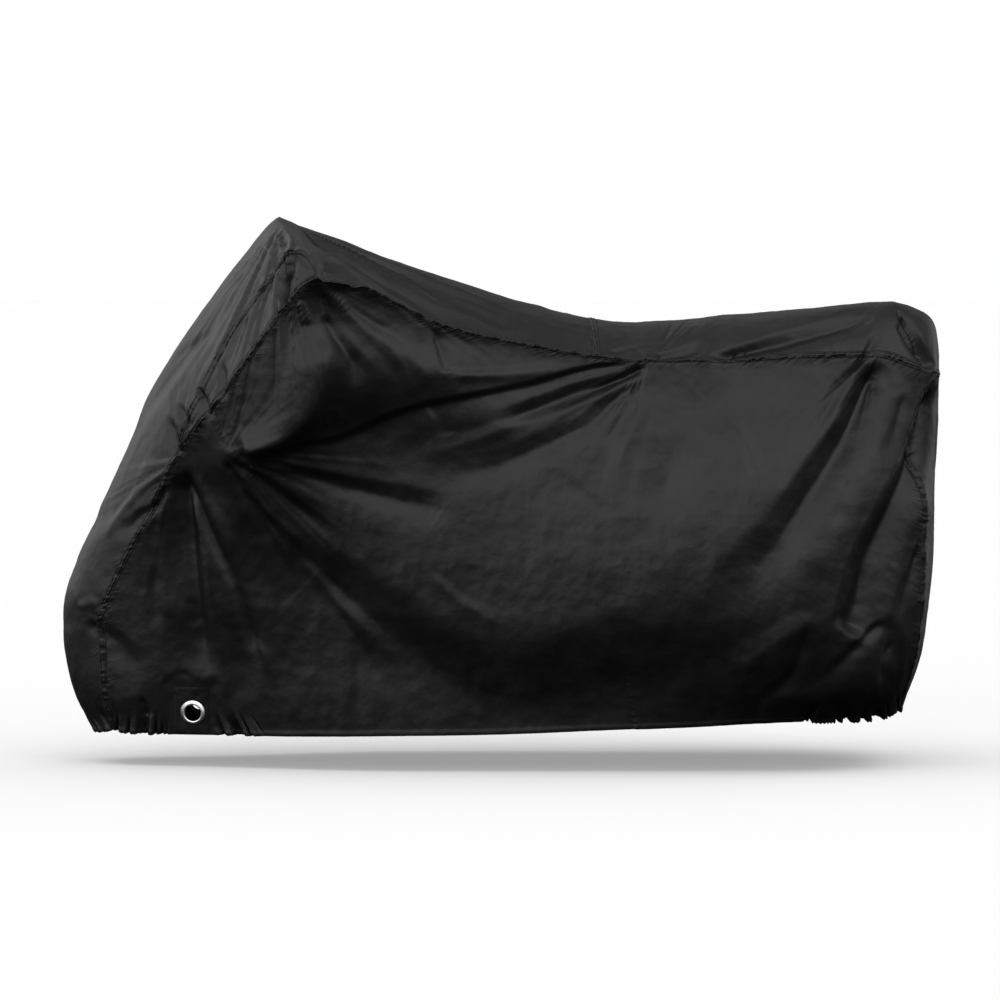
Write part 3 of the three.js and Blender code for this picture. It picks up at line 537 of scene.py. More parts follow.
# %% The smaller folds of a side
SMALL_FOLDS = table(FOLD, [
    ("ridge under the second tuck", 32, 50, -5, 0.15, 0.4,
     [(348, 954), (227, 886), (125, 851), (3, 816), (-127, 774), (-278, 739)]),
    ("short tuck", 26, 40, 6, 0.2, 0.4, [(323, 912), (262, 816), (211, 765)]),
    ("pull ridge", 40, 50, -5, 0.2, 0.4, [(348, 886), (292, 795), (253, 700), (241, 574)]),
    ("inner crease", 16, 30, 6, 0.3, 0.1, [(-160, 1037), (-144, 985), (-132, 933)]),
    ("facet", 20, 60, 3, 0.1, 0.2, [(-176, 863), (-153, 830), (-139, 779)]),
    ("third ray", 26, 40, 5, 0.3, 0.4, [(-563, 613), (-507, 513), (-469, 448)]),
    ("ray ridge", 22, 34, -4, 0.1, 0.4, [(-602, 686), (-563, 646), (-507, 590), (-462, 553), (-430, 506)]),
    ("corner edge", 16, 30, -6, 0.2, 0.3, [(-470, 1108), (-463, 1075), (-458, 1042)]),
    ("cap", 16, 30, 10, 0.2, 0.2, [(-430, 1187), (-390, 1185), (-351, 1164), (-308, 1133)]),
    ("slit", 18, 22, 15, 0.25, 0.25, [(-482, 1183), (-505, 1141), (-503, 1094)]),
    ("small slit", 12, 18, 6, 0.3, 0.3, [(-414, 1180), (-405, 1162), (-393, 1143)]),
    ("shoulder crease", 20, 34, 4, 0.2, 0.4, [(-360, 1105), (-297, 1063), (-227, 1035)]),
    ("shoulder hollow", 26, 40, 4, 0.2, 0.4, [(-395, 1035), (-348, 937), (-334, 849)]),
    ("shoulder rib", 24, 40, -3, 0.2, 0.4, [(-250, 1000), (-209, 937), (-185, 877)]),
    ("rear crease", 24, 40, 7, 0.2, 0.3, [(982, 548), (961, 483), (935, 420), (917, 336)]),
    ("tongue", 34, 54, -3, 0.3, 0.4, [(784, 313), (840, 336), (896, 366)]),
    ("crease down to the hem", 34, 56, 6, 0.3, 0.4, [(905, 373), (896, 310), (887, 245)]),
    ("middle crease", 24, 60, 5, 0.2, 0.3, [(537, 846), (567, 762), (598, 648)]),
    ("line over the patch", 30, 50, 4, 0.3, 0.3, [(-744, 406), (-736, 366), (-728, 324)]),
    ("corner band", 30, 40, -4, 0.3, 0.3, [(-577, 313), (-553, 243), (-535, 201)]),
    ("nose ridge", 18, 24, -5, 0.08, 0.3, [(-773, 714), (-861, 651), (-931, 557), (-954, 527)]),
    ("front fall", 24, 40, 4, 0.3, 0.3, [(-686, 499), (-670, 359), (-647, 266)]),
    ("nose fall", 30, 44, 5, 0.3, 0.3, [(-814, 499), (-824, 406), (-819, 313)]),
    ("nose rib", 26, 36, -3, 0.2, 0.3, [(-1001, 378), (-980, 392), (-954, 408)]),
    ("pocket ahead of the patch", 16, 24, 6, 0.3, 0.2, [(-847, 168), (-845, 145), (-840, 115)]),
    ("pocket at the patch", 14, 22, 5, 0.3, 0.2, [(-779, 173), (-777, 150), (-777, 124)]),
    ("vee left", 16, 30, 3, 0.3, 0.2, [(-800, 194), (-777, 215), (-747, 234)]),
    ("vee right", 16, 30, 3, 0.2, 0.3, [(-747, 234), (-730, 220), (-716, 201)]),
    ("gusset fold", 14, 26, 9, 0.3, 0.2, [(-651, 962), (-651, 915), (-658, 873)]),
    ("second gusset fold", 15, 26, 11, 0.3, 0.2, [(-712, 904), (-695, 864), (-686, 822)]),
    ("third gusset fold", 14, 26, 9, 0.3, 0.2, [(-759, 861), (-745, 831), (-735, 798)]),
    ("fourth gusset fold", 16, 26, 11, 0.3, 0.1, [(-780, 831), (-768, 775), (-763, 738)]),
    ("front fold", 26, 44, 9, 0.2, 0.3, [(-498, 1279), (-538, 1192), (-599, 1075)]),
    ("second front fold", 22, 36, 8, 0.2, 0.3, [(-477, 1253), (-491, 1192), (-524, 1122)]),
    ("peak drape", 24, 36, -7, 0.2, 0.3, [(-510, 1286), (-458, 1230), (-397, 1192)]),
    ("top crease", 20, 40, 10, 0.15, 0.3, [(-468, 1269), (-294, 1183), (-161, 1126)]),
    ("second top crease", 18, 36, 9, 0.15, 0.3, [(-186, 1141), (-69, 1091), (95, 1026)]),
    ("third top crease", 22, 36, 14, 0.1, 0.4, [(362, 972), (440, 993), (494, 1014)]),
    ("long top crease", 28, 50, 20, 0.15, 0.2, [(480, 970), (667, 1021), (902, 1091)]),
    ("thin top crease", 16, 26, 6, 0.2, 0.4, [(236, 981), (329, 1000), (447, 1014)]),
    ("strap", 18, 26, 20, 0.15, 0.15, [(939, 1087), (986, 1014), (1028, 937)]),
    ("second strap", 14, 20, 14, 0.15, 0.15, [(939, 1054), (967, 1009), (1000, 967)]),
    ("tail streak", 16, 24, -3, 0.2, 0.3, [(836, 1040), (864, 1054), (897, 1070)]),
    ("rear hollow", 26, 40, 4, 0.2, 0.4, [(945, 891), (917, 802), (887, 728)]),
    ("rear fall", 30, 50, 6, 0.3, 0.4, [(817, 709), (784, 627), (751, 569)]),
    ("corner fall", 20, 34, 4, 0.2, 0.3, [(917, 313), (891, 266), (882, 196)]),
    ("second corner fall", 22, 36, 4, 0.3, 0.3, [(859, 499), (845, 429), (835, 359)]),
    ("second streak", 30, 44, 3, 0.2, 0.4, [(-395, 406), (-311, 289), (-250, 173)]),
    ("belly rib", 30, 44, -3, 0.3, 0.4, [(-185, 499), (-69, 406), (48, 355)]),
    ("second low fall", 24, 40, 3, 0.3, 0.3, [(-69, 266), (-78, 196), (-69, 126)]),
    ("third low fall", 24, 40, 3, 0.3, 0.3, [(-348, 289), (-344, 196), (-358, 122)]),
    ("belly crease", 30, 50, 3, 0.3, 0.4, [(141, 709), (234, 639), (299, 592)]),
])

# %% The folds of the front and of the back, seen along the length: across and height
FRONT_FOLDS = table(FOLD, [
    ("left drape", 60, 90, 10, 0.2, 0.4, [(-250, 1150), (-150, 960), (-60, 700)]),
    ("right drape", 60, 80, 8, 0.2, 0.4, [(270, 1130), (170, 930), (90, 640)]),
    ("nose swag", 50, 80, 4, 0.3, 0.3, [(-190, 690), (-40, 600), (120, 640)]),
    ("low swag", 50, 80, 6, 0.3, 0.3, [(110, 420), (10, 350), (-90, 380)]),
    ("left pull", 26, 44, 5, 0.2, 0.4, [(-230, 1090), (-120, 1010), (-20, 960)]),
    ("right pull", 24, 44, 5, 0.2, 0.4, [(235, 1070), (130, 1000), (30, 900)]),
    ("nose nick", 20, 36, 4, 0.3, 0.3, [(60, 560), (20, 500), (-30, 470)]),
])
BACK_FOLDS = table(FOLD, [
    ("left fall", 50, 80, 9, 0.15, 0.4, [(-110, 900), (-70, 640), (-20, 330)]),
    ("right fall", 50, 70, 8, 0.15, 0.4, [(120, 880), (90, 600), (60, 300)]),
    ("cross fall", 50, 70, 7, 0.15, 0.4, [(125, 900), (10, 700), (-120, 560)]),
    ("short fall", 24, 40, 5, 0.2, 0.4, [(-60, 860), (-10, 760), (20, 620)]),
])
print("folds of a side:", len(MAIN_FOLDS) + len(SMALL_FOLDS))

# %% [markdown]
# ## What one fold does to the cloth
# Across a fold the cloth falls in on the side of the light and comes out again more slowly, which
# gives the dark line with the bright one under it. On the far side the same points pull the cloth, but
# no two sides of a real cover wrinkle alike, so its folds turn and swell by a sum of their own.

# %% Fold sums
LIGHT = np.array([-0.45, 0.9])
FAR_SIDE = {"turn": 0.07, "step": 1.9, "least": 0.75, "spread": 0.4, "spread_step": 2.7}
FOLD_REACH = {"root": 0.45, "gain": 0.75}
CREST = {"before": 0.3, "after": 0.6}
VALLEY = 0.16
FOLD_SAMPLES = 19


def readied(folds, far=False):
    """Each fold with its line cut up, and its far-side turn and depth."""
    ready = []
    for n, f in enumerate(folds):
        line = np.array(f["line"], float)
        deep = f["deep"]
        if far:
            turn = FAR_SIDE["turn"] * math.sin(FAR_SIDE["step"] * (n + 1))
            spin = np.array([[math.cos(turn), math.sin(turn)], [-math.sin(turn), math.cos(turn)]])
            line = line[0] + (line - line[0]) @ spin
            deep *= FAR_SIDE["least"] + FAR_SIDE["spread"] * math.sin(FAR_SIDE["spread_step"] * n) ** 2
        run = line[-1] - line[0]
        shaded = -1 if LIGHT @ np.array([-run[1], run[0]]) > 0 else 1
        samples = curve_through(line, np.linspace(0, 1, FOLD_SAMPLES))
        ready.append({**f, "deep": deep, "samples": samples, "shaded": shaded})
    return ready


def nearest_on(samples, places):
    """Distance to a line, on which side of it, and how far along."""
    step = np.diff(samples, axis=0)
    away = places[:, None] - samples[None, :-1]
    share = np.clip((away * step).sum(2) / (step**2).sum(1), 0, 1)
    off = np.linalg.norm(away - share[..., None] * step, axis=2)
    k = off.argmin(axis=1)
    row = np.arange(len(places))
    left = np.sign(step[k, 0] * away[row, k, 1] - step[k, 1] * away[row, k, 0])
    return off[row, k], left, (k + share[row, k]) / len(step)


def slope(t, first, last):
    """From 0 to 1 on an even slope, with its first and last parts rounded off."""
    k = np.clip(t, 0, 1)
    even = 1 / (1 - (first + last) / 2)
    up = np.where(k < first, k * k / (2 * first), k - first / 2)
    return np.where(k > 1 - last, 1 - even * (1 - k) ** 2 / (2 * last), even * up)


def folded_in(folds, places):
    """How far the folds take each place of the chart inward."""
    total = np.zeros(len(places))
    for f in folds:
        widest = (f["drop"] + f["rise"]) * (FOLD_REACH["root"] + FOLD_REACH["gain"])
        low, high = f["samples"].min(0) - widest, f["samples"].max(0) + widest
        near = np.flatnonzero(((places > low) & (places < high)).all(axis=1))
        if len(near) == 0:
            continue
        distance, left, along = nearest_on(f["samples"], places[near])
        across = left * f["shaded"] * distance
        reach = FOLD_REACH["root"] + FOLD_REACH["gain"] * along
        into = slope(across / (f["drop"] * reach) + 0.5, CREST["before"], VALLEY)
        out = slope((across - 0.5 * f["drop"] * reach) / (f["rise"] * reach), VALLEY, CREST["after"])
        dying = smooth(along / f["starts"]) * smooth((1 - along) / f["ends"])
        total[near] += f["deep"] * dying * (into - out)
    return total


NEAR_SIDE_FOLDS = readied(MAIN_FOLDS + SMALL_FOLDS)
FAR_SIDE_FOLDS = readied(MAIN_FOLDS + SMALL_FOLDS, far=True)
print("deepest fold of the near side in mm:", max(f["deep"] for f in NEAR_SIDE_FOLDS))

# %% [markdown]
# ## Hard points, rays and crumple
# Under the cloth a few hard ends push out a tip, and fine rays of tension leave each one. Thin coated
# cloth also keeps the crumple of its packing everywhere. Both come from value noise: random numbers on
# a lattice, with a fixed seed, and soft steps between them.

# %% Noise on a lattice
LATTICE = 32


def noise(points, size, seed):
    """Soft bumps of about that size, from -1 to 1."""
    grid = np.random.default_rng(seed).uniform(-1, 1, (LATTICE,) * 3)
    q = points / size
    cell = np.floor(q).astype(int)
    t = smooth(q - cell)
    total = np.zeros(len(points))
    for corner in np.ndindex(2, 2, 2):
        pick = (cell + corner) % LATTICE
        weight = np.prod(np.where(corner, t, 1 - t), axis=1)
        total += grid[pick[:, 0], pick[:, 1], pick[:, 2]] * weight
    return total


def noise_along(values, seed):
    """The same in one direction, with bumps about 1 long."""
    return noise(np.stack([values, 0 * values, 0 * values], axis=1), 1, seed)


print("noise in three steps:", noise_along(np.array([0.0, 0.5, 1.0]), 3).round(2))


# %% Tips, rays and crumple
POKES = table("x z wide out", [(-616, 752, 120, 22), (-132, 933, 90, 9), (340, 955, 80, 7)])
RAYS = table("x z first last near far many deep seed", [
    (-440, 1172, -30, -6, 40, 420, 40, 2.0, 31),
    (-500, 1290, -42, -16, 60, 700, 44, 6.0, 32),
    (-512, 1290, 226, 292, 50, 620, 34, 6.4, 33),
    (-764, 735, 44, 100, 24, 300, 18, 4.2, 34),
    (346, 960, 8, 62, 20, 260, 16, 1.8, 35),
    (346, 960, 120, 176, 20, 240, 16, 1.44, 36),
    (-628, 757, 14, 130, 24, 260, 13, 1.8, 37),
    (-628, 753, -88, 6, 26, 430, 15, 2.52, 11),
    (-628, 750, 30, 84, 20, 220, 15, 1.92, 12),
    (346, 962, 186, 262, 26, 380, 15, 1.92, 13),
    (893, 985, 212, 268, 26, 360, 17, 2.04, 14),
    (905, 1086, 184, 226, 26, 260, 22, 1.56, 15),
    (-425, 1150, 262, 334, 26, 300, 13, 1.56, 16),
    (-766, 726, 203, 296, 22, 340, 14, 2.04, 17),
    (-766, 730, 70, 112, 20, 170, 18, 1.56, 18),
    (-132, 933, -14, 16, 20, 240, 24, 0.96, 19),
])

CRUMPLE = table("size deep seed", [(150, 4.2, 3), (66, 2.8, 5), (30, 1.1, 7), (15, 0.4, 9)])
CRUMPLE_RUN = np.array([1, 1, 0.6])
CRUMPLE_LEVEL = 0.35
POKE_POINTED = 1.6
RAY = {"soft": 0.14, "shift": 9, "level": 0.55, "sharp": 1.6}
FAR_SEED = 40


def poked_out(places):
    total = np.zeros(len(places))
    for p in POKES:
        away = np.hypot(places[:, 0] - p["x"], places[:, 1] - p["z"]) / p["wide"]
        total += p["out"] * np.maximum(0, 1 - away) ** POKE_POINTED
    return total


def rayed(places, seed_shift):
    total = np.zeros(len(places))
    for r in RAYS:
        dx, dz = places[:, 0] - r["x"], places[:, 1] - r["z"]
        far = np.hypot(dx, dz)
        middle = math.radians((r["first"] + r["last"]) / 2)
        half = math.radians((r["last"] - r["first"]) / 2)
        turn = np.arctan2(dz, dx) - middle
        turn = (turn + math.pi) % (2 * math.pi) - math.pi
        inside = smooth((half - np.abs(turn)) / RAY["soft"])
        span = smooth(far / r["near"]) * (1 - smooth((far - r["near"]) / (r["far"] - r["near"])))
        strand = noise_along(turn * r["many"] + RAY["shift"], r["seed"] + seed_shift)
        total += r["deep"] * inside * span * (RAY["level"] - np.abs(strand) * RAY["sharp"])
    return total


def crumpled(points):
    """Paper-like creases, longer in height than in length."""
    run = points * CRUMPLE_RUN
    return sum(c["deep"] * (CRUMPLE_LEVEL - np.abs(noise(run, c["size"], c["seed"]))) for c in CRUMPLE)


print("fans of rays:", len(RAYS), "sizes of crumple:", len(CRUMPLE))


# %% The whole relief of the cloth, outward, in millimetres
MIDDLE_STRIP = 90
ASIDE = {"from": 0.2, "soft": 0.4}


def side_relief(points, outward):
    """What the chart of a side gives at places of the cover. Tips push only cloth that faces aside."""
    places = points[:, [0, 2]]
    aside = smooth((np.abs(outward[:, 1]) - ASIDE["from"]) / ASIDE["soft"])
    near = points[:, 1] < 0
    relief = np.zeros(len(points))
    for chosen, folds, shift in ((near, NEAR_SIDE_FOLDS, 0), (~near, FAR_SIDE_FOLDS, FAR_SEED)):
        here = places[chosen]
        relief[chosen] = aside[chosen] * poked_out(here) + rayed(here, shift) - folded_in(folds, here)
    return smooth(np.abs(points[:, 1]) / MIDDLE_STRIP) * relief


# %% [markdown]
# ## The hem
# The hem is turned in and stitched about a dozen millimetres up. Elastic runs in it around both ends
# of the cover and gathers it: tight pleats in the casing and longer flames above them. Under the
# eyelet patch it lies flat. A simulation with a tight cord would crowd the cloth at random, while
# sums of noise along the hem keep the gathers where the elastic runs.

# %% Hem sums
GATHER = {"pleat": 9.5, "deep": 2.8, "high": 22, "wander": 0.35, "wander_run": 31, "uneven_run": 23}
FLAME = {
    "apart": 16, "deep": 19, "high": 90, "slant": 0.5, "sharp": 2.0, "level": 0.3,
    "slant_run": 120, "uneven_run": 30,
}
GATHERED = {"front_end": -548, "rear_start": 700, "fade": 34, "seam_fade": 12}
PATCH = {"front": -768, "rear": -684, "top": 192, "fade": 8}
CASING = {"high": 13, "puff": 1.4}


def gathered_share(x):
    """1 where the elastic runs, 0 where the hem is plain."""
    front = smooth((GATHERED["front_end"] - x) / GATHERED["fade"])
    beside = np.maximum(PATCH["front"] - x, x - PATCH["rear"]) / PATCH["fade"]
    rear = smooth((x - GATHERED["rear_start"]) / GATHERED["fade"])
    return np.maximum(front * smooth(beside), rear)


def uneven(values, seed):
    """Shares between 0.4 and 1 that swing along a line."""
    return 0.7 + 0.3 * noise_along(values, seed)


def hem_relief(x, up, run, whole):
    """The gathers and the casing at a height above the hem and a run along it."""
    swing = run / GATHER["pleat"] + GATHER["wander"] * noise_along(run / GATHER["wander_run"], seed=21)
    pleats = np.sin(2 * math.pi * swing) * uneven(run / GATHER["uneven_run"], seed=22)
    pleated = GATHER["deep"] * pleats * (1 - smooth(up / GATHER["high"]))
    leaning = run + FLAME["slant"] * up * noise_along(run / FLAME["slant_run"], seed=25)
    lines = np.abs(noise_along(leaning / FLAME["apart"], seed=24))
    pockets = np.maximum(0, 1 - FLAME["sharp"] * lines)
    tall = FLAME["high"] * uneven(leaning / FLAME["uneven_run"], seed=23)
    flamed = FLAME["deep"] * (FLAME["level"] - pockets) * (1 - smooth(up / tall))
    share = gathered_share(x) * smooth(np.minimum(run, whole - run) / GATHERED["seam_fade"])
    puff = CASING["puff"] * np.sin(math.pi * np.clip(up / CASING["high"], 0, 1)) ** 0.5
    return share * (pleated + flamed) + puff


print("gathered at the nose, middle and tail:", [float(gathered_share(x)) for x in (-900, 0, 880)])


# %% Where a seam's thread has drawn the cloth into wrinkles
DRAWN = table("x z wide deep", [
    (-925, 380, 90, 5), (-938, 470, 60, 3), (-880, 560, 90, 3), (-700, 840, 90, 3.5),
    (-600, 1000, 90, 2), (-130, 1030, 45, 3.5), (-340, 1140, 80, 3), (20, 1005, 50, 3.5),
    (113, 990, 50, 3.5), (240, 985, 60, 2.5),
    (400, 955, 120, 4), (620, 965, 150, 6), (800, 975, 130, 6), (930, 960, 80, 4), (1000, 720, 90, 7),
    (985, 800, 60, 5), (995, 600, 90, 5), (990, 430, 90, 4), (-420, 1160, 70, 4), (-560, 1060, 120, 3),
])
DRAWING = {
    "apart": 11, "sharp": 2.4, "slant": 0.35, "reach": 42, "uneven_run": 25, "clear": 5, "level": 0.3,
}


def drawn_in(place, facts):
    """Short wrinkles that leave the seams, deepest at a few places."""
    share = np.zeros(len(place))
    for d in DRAWN:
        away = np.hypot(place[:, 0] - d["x"], place[:, 2] - d["z"]) / d["wide"]
        share = np.maximum(share, d["deep"] * (1 - smooth(away)))
    along = facts["seam_along"] + DRAWING["slant"] * facts["seam_away"]
    pulls = np.abs(noise_along(along / DRAWING["apart"], seed=27))
    lines = np.maximum(0, 1 - DRAWING["sharp"] * pulls)
    reach = DRAWING["reach"] * uneven(along / DRAWING["uneven_run"], seed=28)
    fading = (1 - smooth(facts["seam_away"] / reach)) * smooth(facts["seam_away"] / DRAWING["clear"])
    return share * fading * (lines - DRAWING["level"])


# %% [markdown]
# ## A panel that can be asked anywhere
# Meshes, seams and stitches all need the cloth at their own places. So a panel keeps its smooth base,
# its outward directions and its distances on the grid, and works out the draped cloth for any row and
# column, whole or in between. What is sewn on it then lies on the same folds.


# %% The panel class
INNER_FROM = 0.3
NEVER = 1e4


def run_of(grid, axis):
    """Length from the first row or column, along the cloth."""
    steps = np.linalg.norm(np.diff(grid, axis=axis), axis=2)
    return np.concatenate([np.zeros_like(np.take(steps, [0], axis)), np.cumsum(steps, axis)], axis)


def from_seam(count):
    cells = np.arange(count)
    return smooth(np.minimum(cells, count - 1 - cells) / (INNER_FROM * (count - 1)))


class Panel:
    """One cut of cloth. Columns of `facts`: place 3, outward 3, then the named distances."""

    FACTS = ("hem_up", "hem_run", "hem_whole", "inner", "seam_away", "seam_along", "warp", "weft")

    def __init__(self, base, hem=None, sewn=(), folds=(), flip=False):
        self.base = base
        self.hem = hem
        self.folds = readied(folds)
        self.flip = flip
        down, along = run_of(base, 0), run_of(base, 1)
        whole_down, whole_along = down[-1:], along[:, -1:]
        edges = {
            "first_row": (down, along[:1]), "last_row": (whole_down - down, along[-1:]),
            "first_column": (along, down[:, :1]), "last_column": (whole_along - along, down[:, -1:]),
        }
        shape = base.shape[:2]
        never = np.full(shape, NEVER)
        self.facts = {"warp": down, "weft": along}
        self.facts.update({"hem_up": never, "hem_run": never, "hem_whole": 2 * never})
        if hem:
            up, run = edges[hem]
            self.facts["hem_up"] = up
            self.facts["hem_run"] = np.broadcast_to(run, shape)
            self.facts["hem_whole"] = np.full(shape, run[0, -1])
        self.facts["inner"] = from_seam(shape[0])[:, None] * from_seam(shape[1])[None]
        away = np.stack([edges[name][0] for name in sewn])
        beside = np.stack([np.broadcast_to(edges[name][1], shape) for name in sewn])
        nearest = away.argmin(axis=0)[None]
        self.facts["seam_away"] = np.take_along_axis(away, nearest, 0)[0]
        self.facts["seam_along"] = np.take_along_axis(beside, nearest, 0)[0]

    def corner_facing(self):
        """Twice the area of the cells round each corner, as an outward vector."""
        one = self.base[1:, 1:] - self.base[:-1, :-1]
        other = self.base[:-1, 1:] - self.base[1:, :-1]
        facing = np.cross(one, other)
        rows, columns = facing.shape[:2]
        total = np.zeros_like(self.base)
        for i in (0, 1):
            for j in (0, 1):
                total[i:i + rows, j:j + columns] += facing
        return -total if self.flip else total

    def set_outward(self, outward):
        kept = np.stack([self.facts[name] for name in self.FACTS], axis=2)
        self.grid = np.concatenate([self.base, outward, kept], axis=2)

    def raw(self, i, j):
        """The smooth base between rows and columns."""
        rows, columns = self.base.shape[:2]
        low_i = np.clip(np.floor(i).astype(int), 0, rows - 2)
        low_j = np.clip(np.floor(j).astype(int), 0, columns - 2)
        down, along = (i - low_i)[:, None], (j - low_j)[:, None]
        upper = self.grid[low_i, low_j] * (1 - along) + self.grid[low_i, low_j + 1] * along
        lower = self.grid[low_i + 1, low_j] * (1 - along) + self.grid[low_i + 1, low_j + 1] * along
        return upper * (1 - down) + lower * down

    def at(self, i, j):
        """Draped places, outward directions and the facts at fractional rows and columns."""
        raw = self.raw(np.asarray(i, float), np.asarray(j, float))
        place, outward = raw[:, :3], raw[:, 3:6]
        outward = outward / np.linalg.norm(outward, axis=1)[:, None]
        facts = dict(zip(self.FACTS, raw[:, 6:].T))
        relief = side_relief(place, outward) + crumpled(place)
        if self.folds:
            relief -= facts["inner"] * folded_in(self.folds, place[:, 1:])
        relief += hem_relief(place[:, 0], facts["hem_up"], facts["hem_run"], facts["hem_whole"])
        relief -= drawn_in(place, facts)
        return flattened(place + outward * relief[:, None]), outward, facts


# %% [markdown]
# ## The eyelet's flat place
# The eyelet needs a patch that lies flat. The patch could follow the folds, but stitched double cloth
# is stiffer than that, so the panel under it is drawn onto a leaning plane, fully inside the patch
# and fading out around it.

# %% The plane of an eyelet patch
EYELET = {"x": -723, "z": 130, "hole": 39, "barrel": 1.6, "seat": 0.3}
PATCH_LEAN = 0.16
PATCH_FADE = 34
UNDER_PATCH = 1.4


def patch_plane(sign):
    """A point and the outward direction of the plane, for side -1 or 1."""
    (front_x, front_half, z), (rear_x, rear_half, _) = HEM_PATCH
    half = (front_half + rear_half) / 2
    centre = np.array([EYELET["x"], sign * (half + PATCH_LEAN * (EYELET["z"] - z)), EYELET["z"]])
    outward = np.array([-(rear_half - front_half) / (rear_x - front_x), sign, -PATCH_LEAN])
    return centre, outward / np.linalg.norm(outward)


def flattened(points):
    """Points near an eyelet patch, drawn onto the plane just under it."""
    x, z = points[:, 0], points[:, 2]
    off_x = np.maximum(np.maximum(PATCH["front"] - x, x - PATCH["rear"]), 0)
    off_z = np.maximum(z - PATCH["top"], 0)
    share = 1 - smooth(np.hypot(off_x, off_z) / PATCH_FADE)
    near = (share > 0) & (np.abs(points[:, 1]) > MIDDLE_STRIP)
    result = points.copy()
    for sign in (-1, 1):
        chosen = near & (np.sign(points[:, 1]) == sign)
        centre, outward = patch_plane(sign)
        depth = (points[chosen] - centre) @ outward + UNDER_PATCH
        result[chosen] -= (share[chosen] * depth)[:, None] * outward
    return result


print("left patch looks toward:", patch_plane(-1)[1].round(3))


# %% [markdown]
# ## Broad swells
# Between its hard points the cloth is filled out in broad places that no seam shows. They could be
# more rows in the chart of folds, but a fold pushes along the cloth's own direction, so near the top
# seam it would move the outline too. These push sideways only, and only the smooth bases.

# %% Broad swells, sideways
SWELLS = table("x z long tall out", [
    (800, 195, 190, 200, 56), (-850, 235, 95, 150, 20), (-470, 870, 150, 260, 46),
    (-550, 820, 130, 150, 36), (-290, 950, 190, 130, 46), (-290, 930, 200, 170, 28),
    (-60, 900, 160, 110, 30), (-500, 900, 140, 150, 12), (905, 720, 90, 140, 20),
    (640, 620, 150, 180, 16), (0, 430, 260, 200, -12), (120, 205, 450, 110, 6),
])
SWELL_HOLD = {"hem": 120, "middle": 150}


def swelled(base):
    """A base pushed out sideways by the swells; the middle line and the hem stay where they are."""
    x, y, z = np.moveaxis(base, 2, 0)
    out = np.zeros(x.shape)
    for w in SWELLS:
        out += w["out"] * np.exp(-((x - w["x"]) / w["long"]) ** 2 - ((z - w["z"]) / w["tall"]) ** 2)
    out *= smooth((z - HEM_ABOVE_GROUND) / SWELL_HOLD["hem"])
    out *= smooth((np.abs(y) - MIDDLE_STRIP) / SWELL_HOLD["middle"])
    return np.stack([x, y + np.sign(y) * out, z], axis=2)


# %% Cut the panels
LONG_EDGES = ("first_column", "last_column")
TOP_AND_LONG = ("first_row", *LONG_EDGES)


def cut(base, **how):
    return Panel(swelled(base), **how)


panels = {
    "side_left": cut(side_base(), hem="last_row", sewn=TOP_AND_LONG),
    "side_right": cut(mirrored(side_base()), hem="last_row", sewn=TOP_AND_LONG, flip=True),
    "gusset_left": cut(gusset_base(), sewn=LONG_EDGES),
    "gusset_right": cut(mirrored(gusset_base()), sewn=LONG_EDGES, flip=True),
    "front": cut(front_base(), hem="first_row", sewn=(*LONG_EDGES, "last_row"), folds=FRONT_FOLDS),
    "top_rear": cut(top_base(), sewn=("first_row", "last_row", *LONG_EDGES)),
    "back": cut(back_base(), hem="last_row", sewn=TOP_AND_LONG, folds=BACK_FOLDS),
}
for name, panel in panels.items():
    print(name, "rows and columns:", panel.base.shape[:2])

# %% [markdown]
# ## Outward directions that agree at the seams
# Folds push the cloth along its outward direction. Where two panels meet, both must push the same
# way, or the seam would open. So corners at the same place share one direction, and each panel turns
# to its own within a few centimetres.

# %% Share the directions
SEAM_BLEND = 7


def unit(vectors):
    return vectors / np.maximum(np.linalg.norm(vectors, axis=-1, keepdims=True), 1e-9)


def eased_to_edges(outward):
    for axis in (0, 1):
        count = outward.shape[axis]
        for edge in (0, count - 1):
            away = np.abs(np.arange(count) - edge)
            share = 1 - smooth(away / SEAM_BLEND)
            share = share.reshape((-1, 1, 1) if axis == 0 else (1, -1, 1))
            outward = unit(outward * (1 - share) + np.take(outward, [edge], axis) * share)
    return outward


def share_directions():
    places = np.concatenate([p.base.reshape(-1, 3) for p in panels.values()])
    facing = np.concatenate([p.corner_facing().reshape(-1, 3) for p in panels.values()])
    _, which = np.unique(np.round(places, 2), axis=0, return_inverse=True)
    which = which.ravel()
    total = np.zeros((which.max() + 1, 3))
    np.add.at(total, which, facing)
    shared = unit(total[which])
    start = 0
    for panel in panels.values():
        count = panel.base.shape[0] * panel.base.shape[1]
        panel.set_outward(eased_to_edges(shared[start:start + count].reshape(panel.base.shape)))
        start += count
    return len(places) - len(total)


print("corners shared by panels:", share_directions())

# %% [markdown]
# ## From panel to mesh
# A panel is an even grid. Where the hem is gathered its pleats are finer than the grid, so there the
# lowest rows get two columns for one, and the row of cells above them closes the step with five-sided
# faces. Below the last row the cloth turns in and runs up again inside, as the maker folds the hem.

# %% Weave a panel's rows and columns
FINER = 2
TURNED_IN = table("up inside", [(0.3, 1.2), (6.0, 1.5), (11.5, 1.2)])
EYELET_ROOM = 26


def grid_cells(index):
    return np.stack([index[:-1, :-1], index[1:, :-1], index[1:, 1:], index[:-1, 1:]], axis=2)


def faces_round(count, around, closed=False):
    """Faces of a tube of rings; a closed one joins its last ring to its first."""
    index = np.arange(count * around).reshape(count, around)
    index = np.concatenate([index, index[:, :1]], axis=1)
    if closed:
        index = np.concatenate([index, index[:1]], axis=0)
    return grid_cells(index).reshape(-1, 4).tolist()


